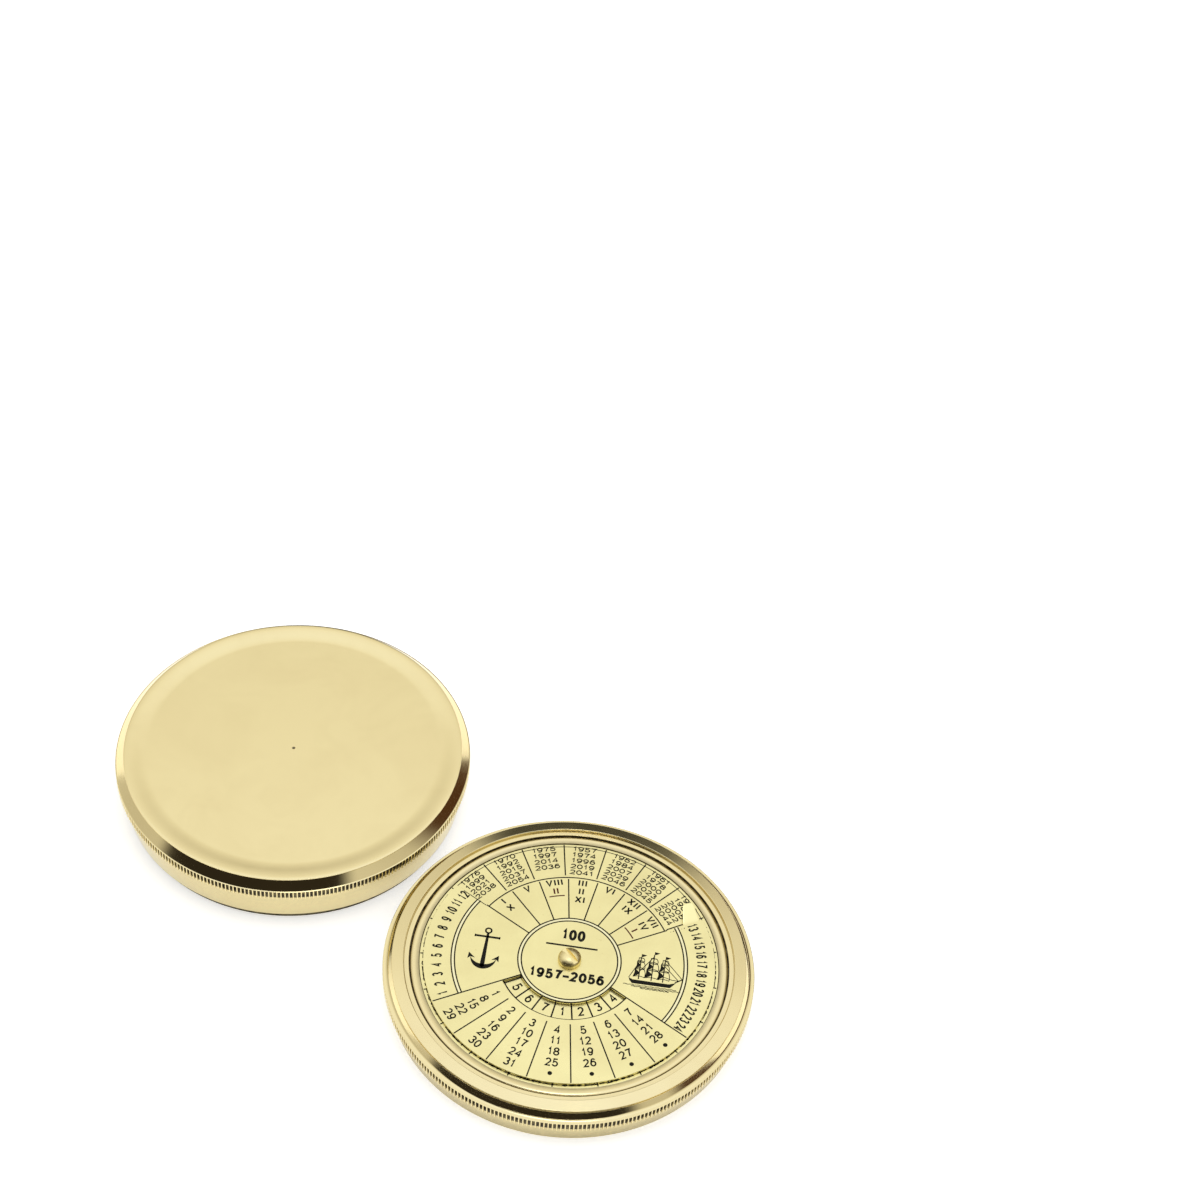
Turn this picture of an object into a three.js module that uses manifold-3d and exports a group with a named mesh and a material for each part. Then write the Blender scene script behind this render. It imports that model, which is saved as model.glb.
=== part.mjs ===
// A round brass pocket case, unscrewed into its two halves, which lie side by side on a table.
// One half is the lid, face up: a perpetual calendar of a fixed year plate and a turning disc.
// The other half is the bowl, bottom up: it holds a compass whose glass faces the table.
// Millimetres, +Z up, origin on the table midway between the two halves.

import * as THREE from 'three';
import { mergeVertices } from 'three/addons/utils/BufferGeometryUtils.js';
import Module from 'manifold-3d';

const wasm = await Module();
wasm.setup();

// Layout on the table
const halvesGap = 2.54;
const layoutBearing = THREE.MathUtils.degToRad(-36.6);

// Roundness of the turned pieces
const largeSegments = 64;
const smallSegments = 24;
const coveSteps = 4;
const domeSteps = 5;

// General clearances
const seatGap = 0.05;
const overrun = 0.3;

// Turned case, the same on both halves
const knurlRadius = 40;
const knurlHeight = 2.4;
const knurlProud = 0.55;
const knurlChamfer = 0.15;
const shoulderHeight = 1.85;
const shoulderWidth = 1.9;
const mouthChamfer = 0.2;

// Lid
const lidWallHeight = 4.65;
const lidFlare = 0.65;
const mouthWall = 0.95;
const webThickness = 1.2;
const lidCornerRadius = 1.1;
const landWidth = 2.5;
const landRise = 0.4;
const stepWidth = 1.2;
const stepDepth = 0.2;
const bevelWidth = 2.15;
const bevelStep = 0.15;

// Screw thread between the halves
const threadDepth = 0.4;
const threadPitch = 0.8;
const threadWidth = 0.6;
const threadClearance = 0.1;
const threadTurns = 1.5;
const threadStart = 0.5;

// Calendar dial
const yearPlateThickness = 0.5;
const yearPlateClearance = 0.1;
const yearPlateTurn = THREE.MathUtils.degToRad(-2.6);
const discThickness = 0.5;
const discProud = 0.05;
const discGap = 0.15;
const discMargin = 0.8;
const discTurn = THREE.MathUtils.degToRad(-4.2);
const windowDepth = 8.45;
const windowSweep = THREE.MathUtils.degToRad(120);
const hubRadius = 11.2;
const dayWindowWidth = 4.3;
const dayWindowSweep = THREE.MathUtils.degToRad(120);
const tabLength = 4;
const tabBaseWidth = 4.1;
const tabTipWidth = 2.2;
const tabInset = 0.6;
const tabRoot = 1;
const tabSlope = THREE.MathUtils.degToRad(16);

// Dial screw and what it holds
const screwRadius = 1.25;
const screwClearance = 0.1;
const headRadius = 2.5;
const headHeight = 1.4;
const slotWidth = 0.55;
const slotDepth = 0.6;
const slotBearing = THREE.MathUtils.degToRad(-45);
const washerRadius = 2.9;
const washerThickness = 0.2;
const washerWave = 0.1;
const washerWaves = 3;
const nutAcrossFlats = 5;
const nutHeight = 1.4;
const screwEnd = 0.2;

// Bowl
const collarHeight = 2;
const collarWall = 1;
const bowlWallHeight = 7.55;
const bowlFlare = 1.15;
const footRise = 0.15;
const footWidth = 0.9;
const footRound = 0.75;
const bottomSink = 0.85;
const bottomSlope = 2.55;
const floorThickness = 1.2;
const bowlCornerRadius = 1.6;
const ledgeWidth = 0.8;
const centreMarkRadius = 0.3;
const centreMarkDepth = 0.25;

// Glass and its rings, counted up from the mouth of the bowl
const ringInset = 0.3;
const ringThickness = 0.7;
const ringWidth = 1.5;
const glassThickness = 1.2;
const glassEdgeGap = 0.15;
const gasketThickness = 0.3;
const gasketWidth = 2;
const seatRingThickness = 0.6;
const seatRingWidth = 3;

// Compass card and its bearing
const cardThickness = 0.3;
const cardClearance = 4;
const capRoom = 1.2;
const capCrown = 1.6;
const capCrownRadius = 1.7;
const capRadius = 2.6;
const capFlange = 0.5;
const capSkirt = 0.6;
const capWall = 0.5;
const stoneClearance = 0.05;
const stoneHeight = 1.1;
const stoneCupRadius = 0.75;
const stoneCupDepth = 0.6;
const pinTipGap = 0.1;
const pinRadius = 0.4;
const pinTaper = 2;
const pinSeat = 2;
const pinClearance = 0.05;
const studHeight = 3.9;
const studRadius = 1.4;
const studFlangeRadius = 3.2;
const studFlange = 0.9;
const magnetLength = 22;
const magnetWidth = 3;
const magnetThickness = 1.5;
const magnetSpacing = 13;
const weightRadius = 1.5;
const weightThickness = 0.7;
const weightInset = 4;

// Radii that follow, from the knurl inwards
const wallRadius = knurlRadius - knurlProud;
const edgeRadius = knurlRadius - shoulderWidth;
const mouthRadius = wallRadius - lidFlare;
const boreRadius = mouthRadius - mouthWall;
const collarRadius = boreRadius - threadClearance - threadDepth;
const counterboreRadius = collarRadius - collarWall;
const chamberRadius = counterboreRadius - ledgeWidth;
const landRadius = edgeRadius - landWidth;
const stepRadius = landRadius - stepWidth;
const recessRadius = stepRadius - bevelWidth;
const yearPlateRadius = recessRadius - yearPlateClearance;
const discRadius = yearPlateRadius - discMargin;
const windowRadius = discRadius - windowDepth;
const holeRadius = screwRadius + screwClearance;
const glassRadius = counterboreRadius - glassEdgeGap;
const cardRadius = chamberRadius - cardClearance;
const stoneRadius = capRadius - capFlange - capWall;

// Heights of the lid that follow, from the table up
const lidKnurlBase = lidWallHeight;
const lidKnurlTop = lidKnurlBase + knurlHeight;
const lidEdge = lidKnurlTop + shoulderHeight;
const discTop = lidEdge + discProud;
const discBase = discTop - discThickness;
const yearPlateTop = discBase - discGap;
const yearPlateBase = yearPlateTop - yearPlateThickness;
const webTop = yearPlateBase - seatGap;
const webBase = webTop - webThickness;
const washerTop = webBase - seatGap;
const washerBase = washerTop - washerThickness - 2 * washerWave;
const nutTop = washerBase - seatGap;
const nutBase = nutTop - nutHeight;

// Heights of the bowl that follow, from the table up
const bowlKnurlBase = collarHeight + bowlWallHeight;
const bowlKnurlTop = bowlKnurlBase + knurlHeight;
const bowlEdge = bowlKnurlTop + shoulderHeight;
const footTop = bowlEdge + footRise;
const bottomFace = footTop - bottomSink;
const chamberFloor = bottomFace - floorThickness;
const ringTop = ringInset + ringThickness;
const glassBase = ringTop + seatGap;
const glassTop = glassBase + glassThickness;
const gasketBase = glassTop + seatGap;
const gasketTop = gasketBase + gasketThickness;
const seatRingBase = gasketTop + seatGap;
const seatRingTop = seatRingBase + seatRingThickness;
const ledge = seatRingTop + seatGap;
const capTop = glassTop + capRoom;
const cardFace = capTop + capCrown;
const cardBack = cardFace + cardThickness;
const magnetFace = cardBack + seatGap;
const stoneTop = capTop + capWall;
const pinTip = stoneTop + stoneHeight - stoneCupDepth + pinTipGap;
const studBase = chamberFloor - seatGap;
const studTop = studBase - studHeight;

const polishedBrass = { color: 0xe6cf86, roughness: 0.16, metalness: 1 };
const dialBrass = { color: 0xefe0a0, roughness: 0.34, metalness: 1 };
const screwBrass = { color: 0xd9b564, roughness: 0.22, metalness: 1 };
const springSteel = { color: 0xb9bcc0, roughness: 0.3, metalness: 1 };
const magnetSteel = { color: 0x4a4d52, roughness: 0.45, metalness: 1 };
const whiteCard = { color: 0xf2efe4, roughness: 0.7, metalness: 0 };
const rubyStone = { color: 0x9c1230, roughness: 0.08, metalness: 0 };
const blackRubber = { color: 0x1c1c1c, roughness: 0.9, metalness: 0 };
const clearGlass = { color: 0xe8f2f2, roughness: 0.04, metalness: 0, transparent: true, opacity: 0.3 };

// A turned solid: its profile is a list of [radius, height] points, up the outside first.
function turned(profile, segments) {
  const loop = profile.map(([radius, height]) => new THREE.Vector2(radius, height));
  const touchesAxis = profile[0][0] === 0 && profile.at(-1)[0] === 0;
  if (!touchesAxis) {
    loop.push(loop[0].clone());
  }
  const geometry = new THREE.LatheGeometry(loop, segments);
  geometry.rotateX(Math.PI / 2);
  return geometry;
}

// Points of a hollow quarter round, from [radius + width, height] to [radius, height + rise].
function cove(radius, height, width, rise) {
  const points = [];
  for (let step = 1; step < coveSteps; step += 1) {
    const angle = (step / coveSteps) * (Math.PI / 2);
    points.push([radius + width * (1 - Math.sin(angle)), height + rise * (1 - Math.cos(angle))]);
  }
  return points;
}

function toManifold(geometry) {
  const bare = geometry.clone();
  bare.deleteAttribute('normal');
  bare.deleteAttribute('uv');
  const merged = mergeVertices(bare);
  const corners = merged.index.array;
  const triangles = [];
  for (let i = 0; i < corners.length; i += 3) {
    const [a, b, c] = corners.slice(i, i + 3);
    if (a !== b && b !== c && c !== a) {
      triangles.push(a, b, c);
    }
  }
  return new wasm.Manifold(new wasm.Mesh({
    numProp: 3,
    vertProperties: new Float32Array(merged.attributes.position.array),
    triVerts: new Uint32Array(triangles),
  }));
}

function toGeometry(manifold) {
  const mesh = manifold.getMesh();
  const geometry = new THREE.BufferGeometry();
  geometry.setAttribute('position', new THREE.BufferAttribute(mesh.vertProperties, 3));
  geometry.setIndex(new THREE.BufferAttribute(mesh.triVerts, 1));
  geometry.computeVertexNormals();
  return geometry;
}

// A screw thread's ridge: a three-sided section wound round the axis from its lowest turn up.
function threadRidge(baseRadius, crestRadius) {
  const steps = Math.round(threadTurns * largeSegments);
  const outward = crestRadius > baseRadius;
  const half = threadWidth / 2;
  const section = outward
    ? [[baseRadius, -half], [crestRadius, 0], [baseRadius, half]]
    : [[crestRadius, 0], [baseRadius, -half], [baseRadius, half]];
  const positions = [];
  for (let step = 0; step <= steps; step += 1) {
    const angle = (step / largeSegments) * Math.PI * 2;
    const height = threadStart + (step / largeSegments) * threadPitch;
    for (const [radius, offset] of section) {
      positions.push(radius * Math.cos(angle), radius * Math.sin(angle), height + offset);
    }
  }
  const triangles = [0, 1, 2];
  for (let step = 0; step < steps; step += 1) {
    for (let side = 0; side < 3; side += 1) {
      const a = step * 3 + side;
      const b = step * 3 + ((side + 1) % 3);
      triangles.push(a, a + 3, b, b, a + 3, b + 3);
    }
  }
  triangles.push(steps * 3, steps * 3 + 2, steps * 3 + 1);
  const geometry = new THREE.BufferGeometry();
  geometry.setAttribute('position', new THREE.Float32BufferAttribute(positions, 3));
  geometry.setIndex(triangles);
  return geometry;
}

// The knurled band and the hollow shoulder above it, up to the sharp edge.
function knurlAndShoulder(base) {
  const top = base + knurlHeight;
  return [
    [wallRadius, base - knurlChamfer],
    [knurlRadius, base],
    [knurlRadius, top - knurlChamfer],
    [knurlRadius - knurlChamfer, top],
    ...cove(edgeRadius, top, shoulderWidth - knurlChamfer, shoulderHeight),
    [edgeRadius, top + shoulderHeight],
  ];
}

function lidShell() {
  const profile = [
    [boreRadius + mouthChamfer, 0],
    [mouthRadius - mouthChamfer, 0],
    [mouthRadius, mouthChamfer],
    ...knurlAndShoulder(lidKnurlBase),
    [landRadius, lidEdge + landRise],
    [landRadius, lidEdge + landRise - stepDepth],
    [stepRadius, lidEdge + landRise - 2 * stepDepth],
    [stepRadius, lidEdge + landRise - 3 * stepDepth],
    [recessRadius, yearPlateTop + bevelStep],
    [recessRadius, webTop],
    [holeRadius, webTop],
    [holeRadius, webBase],
    [boreRadius - lidCornerRadius, webBase],
    [boreRadius, webBase - lidCornerRadius],
    [boreRadius, mouthChamfer],
  ];
  const shell = toManifold(turned(profile, largeSegments));
  const ridge = toManifold(threadRidge(boreRadius + overrun, boreRadius - threadDepth));
  return toGeometry(shell.add(ridge));
}

function yearPlate() {
  return turned([
    [holeRadius, yearPlateBase],
    [yearPlateRadius, yearPlateBase],
    [yearPlateRadius, yearPlateTop],
    [holeRadius, yearPlateTop],
  ], largeSegments);
}

// The tab runs into the window from its clockwise end, and is bent up out of the disc.
function discTab() {
  const rise = tabLength * Math.tan(tabSlope);
  const side = new THREE.Shape();
  side.moveTo(tabRoot, 0);
  side.lineTo(tabRoot, discThickness);
  side.lineTo(0, discThickness);
  side.lineTo(-tabLength, rise + discThickness);
  side.lineTo(-tabLength, rise);
  side.lineTo(0, 0);
  const strip = new THREE.ExtrudeGeometry(side, { depth: tabBaseWidth, bevelEnabled: false });
  strip.rotateX(Math.PI / 2);
  strip.translate(0, tabBaseWidth, 0);
  const outline = new THREE.Shape();
  outline.moveTo(tabRoot + overrun, 0);
  outline.lineTo(tabRoot + overrun, tabBaseWidth);
  outline.lineTo(-tabLength, tabBaseWidth);
  outline.lineTo(-tabLength, tabBaseWidth - tabTipWidth);
  outline.lineTo(0, 0);
  const plan = new THREE.ExtrudeGeometry(outline, {
    depth: rise + discThickness + 2 * overrun,
    bevelEnabled: false,
  });
  plan.translate(0, 0, -overrun);
  const tab = toManifold(strip).intersect(toManifold(plan));
  const geometry = toGeometry(tab);
  geometry.translate(0, discRadius - tabInset - tabBaseWidth, discBase);
  geometry.rotateZ(-windowSweep / 2);
  return geometry;
}

// The year window is cut in from the rim at the top, and the day window lies round the hub below.
function monthDisc() {
  const up = Math.PI / 2;
  const half = windowSweep / 2;
  const dayHalf = dayWindowSweep / 2;
  const outline = new THREE.Shape();
  outline.absarc(0, 0, discRadius, up + half, up - half + 2 * Math.PI, false);
  outline.absarc(0, 0, windowRadius, up - half, up + half, false);
  const hole = new THREE.Path();
  hole.absarc(0, 0, holeRadius, 0, 2 * Math.PI, true);
  const dayWindow = new THREE.Path();
  dayWindow.absarc(0, 0, hubRadius + dayWindowWidth, -up - dayHalf, -up + dayHalf, false);
  dayWindow.absarc(0, 0, hubRadius, -up + dayHalf, -up - dayHalf, true);
  outline.holes.push(hole, dayWindow);
  const plate = new THREE.ExtrudeGeometry(outline, {
    depth: discThickness,
    bevelEnabled: false,
    curveSegments: smallSegments,
  });
  plate.translate(0, 0, discBase);
  return toGeometry(toManifold(plate).add(toManifold(discTab())));
}

function pivotScrew() {
  const headBase = discTop + seatGap;
  const dome = [];
  for (let step = 1; step < domeSteps; step += 1) {
    const angle = (step / domeSteps) * (Math.PI / 2);
    dome.push([headRadius * Math.cos(angle), headBase + headHeight * Math.sin(angle)]);
  }
  const body = turned([
    [0, nutBase - screwEnd],
    [screwRadius, nutBase - screwEnd],
    [screwRadius, headBase],
    [headRadius, headBase],
    ...dome,
    [0, headBase + headHeight],
  ], smallSegments);
  const slot = new THREE.BoxGeometry(2 * (headRadius + overrun), slotWidth, slotDepth + overrun);
  slot.translate(0, 0, headBase + headHeight + (overrun - slotDepth) / 2);
  slot.rotateZ(slotBearing);
  return toGeometry(toManifold(body).subtract(toManifold(slot)));
}

// A flat ring waved up and down round its axis, so that it springs when it is pressed.
function springWasher() {
  const geometry = turned([
    [holeRadius, washerBase + washerWave],
    [washerRadius, washerBase + washerWave],
    [washerRadius, washerBase + washerWave + washerThickness],
    [holeRadius, washerBase + washerWave + washerThickness],
  ], smallSegments);
  const places = geometry.attributes.position;
  for (let i = 0; i < places.count; i += 1) {
    const bearing = Math.atan2(places.getY(i), places.getX(i));
    places.setZ(i, places.getZ(i) + washerWave * Math.cos(washerWaves * bearing));
  }
  return geometry;
}

function screwNut() {
  const cornerRadius = nutAcrossFlats / 2 / Math.cos(Math.PI / 6);
  const outline = new THREE.Shape();
  for (let corner = 0; corner < 6; corner += 1) {
    const angle = (corner * Math.PI) / 3;
    outline[corner ? 'lineTo' : 'moveTo'](cornerRadius * Math.cos(angle), cornerRadius * Math.sin(angle));
  }
  const hole = new THREE.Path();
  hole.absarc(0, 0, screwRadius + seatGap, 0, 2 * Math.PI, true);
  outline.holes.push(hole);
  const geometry = new THREE.ExtrudeGeometry(outline, {
    depth: nutHeight,
    bevelEnabled: false,
    curveSegments: smallSegments,
  });
  geometry.translate(0, 0, nutBase);
  return geometry;
}

// The walk starts on the axis inside the bowl, so that it ends on the axis outside it.
function bowlShell() {
  const footOuter = edgeRadius - footRound;
  const footInner = footOuter - footWidth;
  const inside = [
    [0, chamberFloor],
    [chamberRadius - bowlCornerRadius, chamberFloor],
    [chamberRadius, chamberFloor - bowlCornerRadius],
    [chamberRadius, ledge],
    [counterboreRadius, ledge],
    [counterboreRadius, mouthChamfer],
    [counterboreRadius + mouthChamfer, 0],
  ];
  const outside = [
    [collarRadius - mouthChamfer, 0],
    [collarRadius, mouthChamfer],
    [collarRadius, collarHeight],
    [wallRadius - bowlFlare, collarHeight],
    ...knurlAndShoulder(bowlKnurlBase),
    [footOuter, footTop],
    [footInner, footTop],
    [footInner - bottomSlope / 2, footTop - bottomSink / 2],
    [footInner - bottomSlope, bottomFace],
    [centreMarkRadius, bottomFace],
    [0, bottomFace - centreMarkDepth],
  ];
  const shell = toManifold(turned([...inside, ...outside], largeSegments));
  const ridge = toManifold(threadRidge(collarRadius - overrun, collarRadius + threadDepth));
  return toGeometry(shell.add(ridge));
}

function flatRing(innerRadius, outerRadius, base, top) {
  return turned([
    [innerRadius, base],
    [outerRadius, base],
    [outerRadius, top],
    [innerRadius, top],
  ], largeSegments);
}

function compassGlass() {
  return turned([
    [0, glassBase],
    [glassRadius, glassBase],
    [glassRadius, glassTop],
    [0, glassTop],
  ], largeSegments);
}

function compassCard() {
  return flatRing(capRadius - capFlange + seatGap, cardRadius, cardFace, cardBack);
}

// The cap's flange lies on the card's face, and its skirt passes through the card.
function jewelCap() {
  const skirtRadius = capRadius - capFlange;
  const bore = stoneRadius;
  return turned([
    [0, capTop],
    [capCrownRadius / 2, capTop],
    [capCrownRadius, capTop + capWall],
    [capRadius, cardFace - seatGap - capWall],
    [capRadius, cardFace - seatGap],
    [skirtRadius, cardFace - seatGap],
    [skirtRadius, cardBack + capSkirt],
    [bore, cardBack + capSkirt],
    [bore, stoneTop - seatGap],
    [0, stoneTop - seatGap],
  ], smallSegments);
}

function jewelStone() {
  const radius = stoneRadius - stoneClearance;
  const base = stoneTop + stoneHeight;
  return turned([
    [0, stoneTop],
    [radius, stoneTop],
    [radius, base],
    [stoneCupRadius, base],
    [0, base - stoneCupDepth],
  ], smallSegments);
}

function pivotPin() {
  return turned([
    [0, pinTip],
    [pinRadius, pinTip + pinTaper],
    [pinRadius, studTop + pinSeat],
    [0, studTop + pinSeat],
  ], smallSegments);
}

function pivotStud() {
  const bore = pinRadius + pinClearance;
  return turned([
    [0, studTop + pinSeat + seatGap],
    [bore, studTop + pinSeat + seatGap],
    [bore, studTop],
    [studRadius, studTop],
    [studRadius, studBase - studFlange],
    [studFlangeRadius, studBase - studFlange],
    [studFlangeRadius, studBase],
    [0, studBase],
  ], smallSegments);
}

function barMagnet(side) {
  const geometry = new THREE.BoxGeometry(magnetWidth, magnetLength, magnetThickness);
  geometry.translate((side * magnetSpacing) / 2, 0, magnetFace + magnetThickness / 2);
  return geometry;
}

function cardWeight() {
  const geometry = turned([
    [0, magnetFace],
    [weightRadius, magnetFace],
    [weightRadius, magnetFace + weightThickness],
    [0, magnetFace + weightThickness],
  ], smallSegments);
  geometry.translate(0, weightInset + weightRadius - cardRadius, 0);
  return geometry;
}

function piece(name, geometry, finish) {
  const mesh = new THREE.Mesh(geometry, new THREE.MeshStandardMaterial(finish));
  mesh.name = name;
  return mesh;
}

const calendarDisc = piece('month_disc', monthDisc(), dialBrass);
calendarDisc.rotation.z = discTurn;
const yearDial = piece('year_plate', yearPlate(), dialBrass);
yearDial.rotation.z = yearPlateTurn;

const lid = new THREE.Group();
lid.add(
  piece('lid_shell', lidShell(), polishedBrass),
  yearDial,
  calendarDisc,
  piece('pivot_screw', pivotScrew(), screwBrass),
  piece('spring_washer', springWasher(), springSteel),
  piece('screw_nut', screwNut(), screwBrass),
);

const bowl = new THREE.Group();
bowl.add(
  piece('bowl_shell', bowlShell(), polishedBrass),
  piece('retaining_ring', flatRing(counterboreRadius - seatGap - ringWidth,
    counterboreRadius - seatGap, ringInset, ringTop), polishedBrass),
  piece('compass_glass', compassGlass(), clearGlass),
  piece('glass_gasket', flatRing(glassRadius - gasketWidth, glassRadius, gasketBase, gasketTop),
    blackRubber),
  piece('seat_ring', flatRing(glassRadius - seatRingWidth, glassRadius, seatRingBase, seatRingTop),
    polishedBrass),
  piece('compass_card', compassCard(), whiteCard),
  piece('jewel_cap', jewelCap(), screwBrass),
  piece('jewel_stone', jewelStone(), rubyStone),
  piece('magnet_east', barMagnet(1), magnetSteel),
  piece('magnet_west', barMagnet(-1), magnetSteel),
  piece('card_weight', cardWeight(), screwBrass),
  piece('pivot_pin', pivotPin(), springSteel),
  piece('pivot_stud', pivotStud(), screwBrass),
);

const reach = knurlRadius + halvesGap / 2;
lid.position.set(reach * Math.cos(layoutBearing), reach * Math.sin(layoutBearing), 0);
bowl.position.copy(lid.position).negate();

const calendarCompass = new THREE.Group();
calendarCompass.add(lid, bowl);

export default calendarCompass;
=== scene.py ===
"""A round brass pocket case with a perpetual calendar and a card compass.

The case is unscrewed into two halves that lie side by side: the lid with its calendar disc face up,
and the bowl bottom up, with the compass and its glass facing the table.
"""

from collections import namedtuple
from math import atan2, cos, pi, radians, sin, sqrt, tan

import bmesh
import bpy
from bpy.props import FloatProperty, FloatVectorProperty, IntProperty, PointerProperty
from bpy.types import Operator, Panel, PropertyGroup
from mathutils import Matrix, Vector
from mathutils.geometry import tessellate_polygon


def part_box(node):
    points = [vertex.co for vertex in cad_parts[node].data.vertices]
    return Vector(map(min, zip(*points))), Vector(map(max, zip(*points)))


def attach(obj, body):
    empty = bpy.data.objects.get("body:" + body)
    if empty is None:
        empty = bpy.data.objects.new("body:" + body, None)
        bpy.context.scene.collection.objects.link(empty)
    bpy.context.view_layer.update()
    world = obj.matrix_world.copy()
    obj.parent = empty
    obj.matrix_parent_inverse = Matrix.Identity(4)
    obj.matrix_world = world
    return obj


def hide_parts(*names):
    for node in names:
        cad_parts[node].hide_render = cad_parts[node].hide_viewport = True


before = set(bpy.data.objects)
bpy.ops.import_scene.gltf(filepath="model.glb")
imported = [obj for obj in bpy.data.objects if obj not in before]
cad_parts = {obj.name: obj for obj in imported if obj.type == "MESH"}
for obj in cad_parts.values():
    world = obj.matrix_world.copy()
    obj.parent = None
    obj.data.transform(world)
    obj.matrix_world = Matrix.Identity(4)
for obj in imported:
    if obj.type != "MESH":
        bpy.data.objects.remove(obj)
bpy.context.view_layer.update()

bl_info = {
    "name": "Calendar Compass",
    "version": (1, 0, 0),
    "blender": (4, 5, 0),
    "location": "View3D > Sidebar > Compass",
    "description": "Builds a brass pocket case with a perpetual calendar and a card compass",
    "category": "Add Mesh",
}

MM = 0.001

# Columns round the turned pieces. A knurl tooth has four, given as shares of its width, and the
# groove is where the cuts are 1.
ROUND_COLUMNS = 192
SMALL_COLUMNS = 96
DISC_COLUMNS = 240
FINE_PER_TOOTH = 4
TOOTH_SHARES = (0.0, 0.48, 0.6, 0.88)
TOOTH_CUTS = (1, 1, 0, 0)

# Steps of the curves in a turned profile.
FILLET_STEPS = 4
COVE_STEPS = 12
DOME_STEPS = 24
CUP_STEPS = 10

# A fillet takes no more than this share of a side, leaves corners that are nearly straight as
# they are, and ends in a short plain run, which holds the shading.
FILLET_SHARE = 0.45
NEARLY_STRAIGHT = radians(89)
HOLD = 0.05 * MM
HOLD_SHARE = 0.3

# Room between small pieces that fit together, and the rounding of their finest edges.
ROOM = 0.05 * MM
FINE_ROUND = 0.05 * MM

# How near the axis counts as on it, and how near each other points count as one.
ON_AXIS = 0.05 * MM
SAME_CORNER = HOLD / 100
SAME_POINT = 0.002 * MM
SAME_SEAM = 0.01 * MM

# Shading breaks at edges sharper than this, and faces whose normal is this upright stay flat.
SHARP_EDGE = radians(28)
UPRIGHT = 0.99999

# Steps of the finger tab across and along it, of a printed arc and of a sail's edges.
TAB_COLUMNS = 10
TAB_ROWS = 14
ARC_STEP = radians(1.5)
SAIL_STEPS = 8

# A printed line is widened at its corners, but never past its width divided by this.
MITRE = 0.5

# The calendar. Its dial has three sectors, each with a column for every weekday, and the top
# column holds the years of this class, which year_columns explains.
DAYS = 7
SECTOR = radians(120)
HALF_SECTOR = SECTOR / 2
COLUMN_ANGLE = SECTOR / DAYS
PLATE_COLUMNS = 3 * DAYS
FIRST_YEAR = 1957
LAST_YEAR = 2056
TOP_CLASS = 3
YEAR_ROWS = 5
DATE_ROWS = 5
LAST_DATE = 31
HOURS = 12

# One point of a turned profile. A groove is cut into every knurl tooth by that depth, and None
# gives a plain ring. A thread is the height of the screw ridge there, negative into a bore.
# Each point also carries how dark its metal is painted: residue, and painted shade in the hollows
# and grooves where shade falls.
Turn = namedtuple("Turn", "radius height groove grime thread fillet",
                  defaults=(None, 0.0, 0.0, 0.0))


def middle_of(node):
    """The vertical axis of a round node, as x and y."""
    low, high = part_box(node)
    return Vector(((low.x + high.x) / 2, (low.y + high.y) / 2))


LID_AXIS = middle_of("lid_shell")
BOWL_AXIS = middle_of("bowl_shell")


def ring_of(node, axis):
    """Inner radius, outer radius, base and top of a round node."""
    spans = [(corner.co.xy - axis).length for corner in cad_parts[node].data.vertices]
    low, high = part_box(node)
    inner = min(spans)
    return (inner if inner > ON_AXIS else 0.0), max(spans), low.z, high.z


def size(name, millimetres, description):
    """A length that a user may change, given in millimetres."""
    return FloatProperty(name=name, description=description, default=millimetres * MM,
                         min=0.0, unit="LENGTH", precision=5)


def turn(name, angle, description):
    """An angle that a user may change, given in degrees."""
    return FloatProperty(name=name, description=description, default=radians(angle),
                         subtype="ANGLE")


def colour(name, value, description):
    """A linear colour that a user may change."""
    return FloatVectorProperty(name=name, description=description, default=value,
                               size=3, min=0.0, max=1.0, subtype="COLOR")


def amount(name, value, description):
    """A share from nought to one that a user may change."""
    return FloatProperty(name=name, description=description, default=value,
                         min=0.0, max=1.0, subtype="FACTOR")


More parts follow.
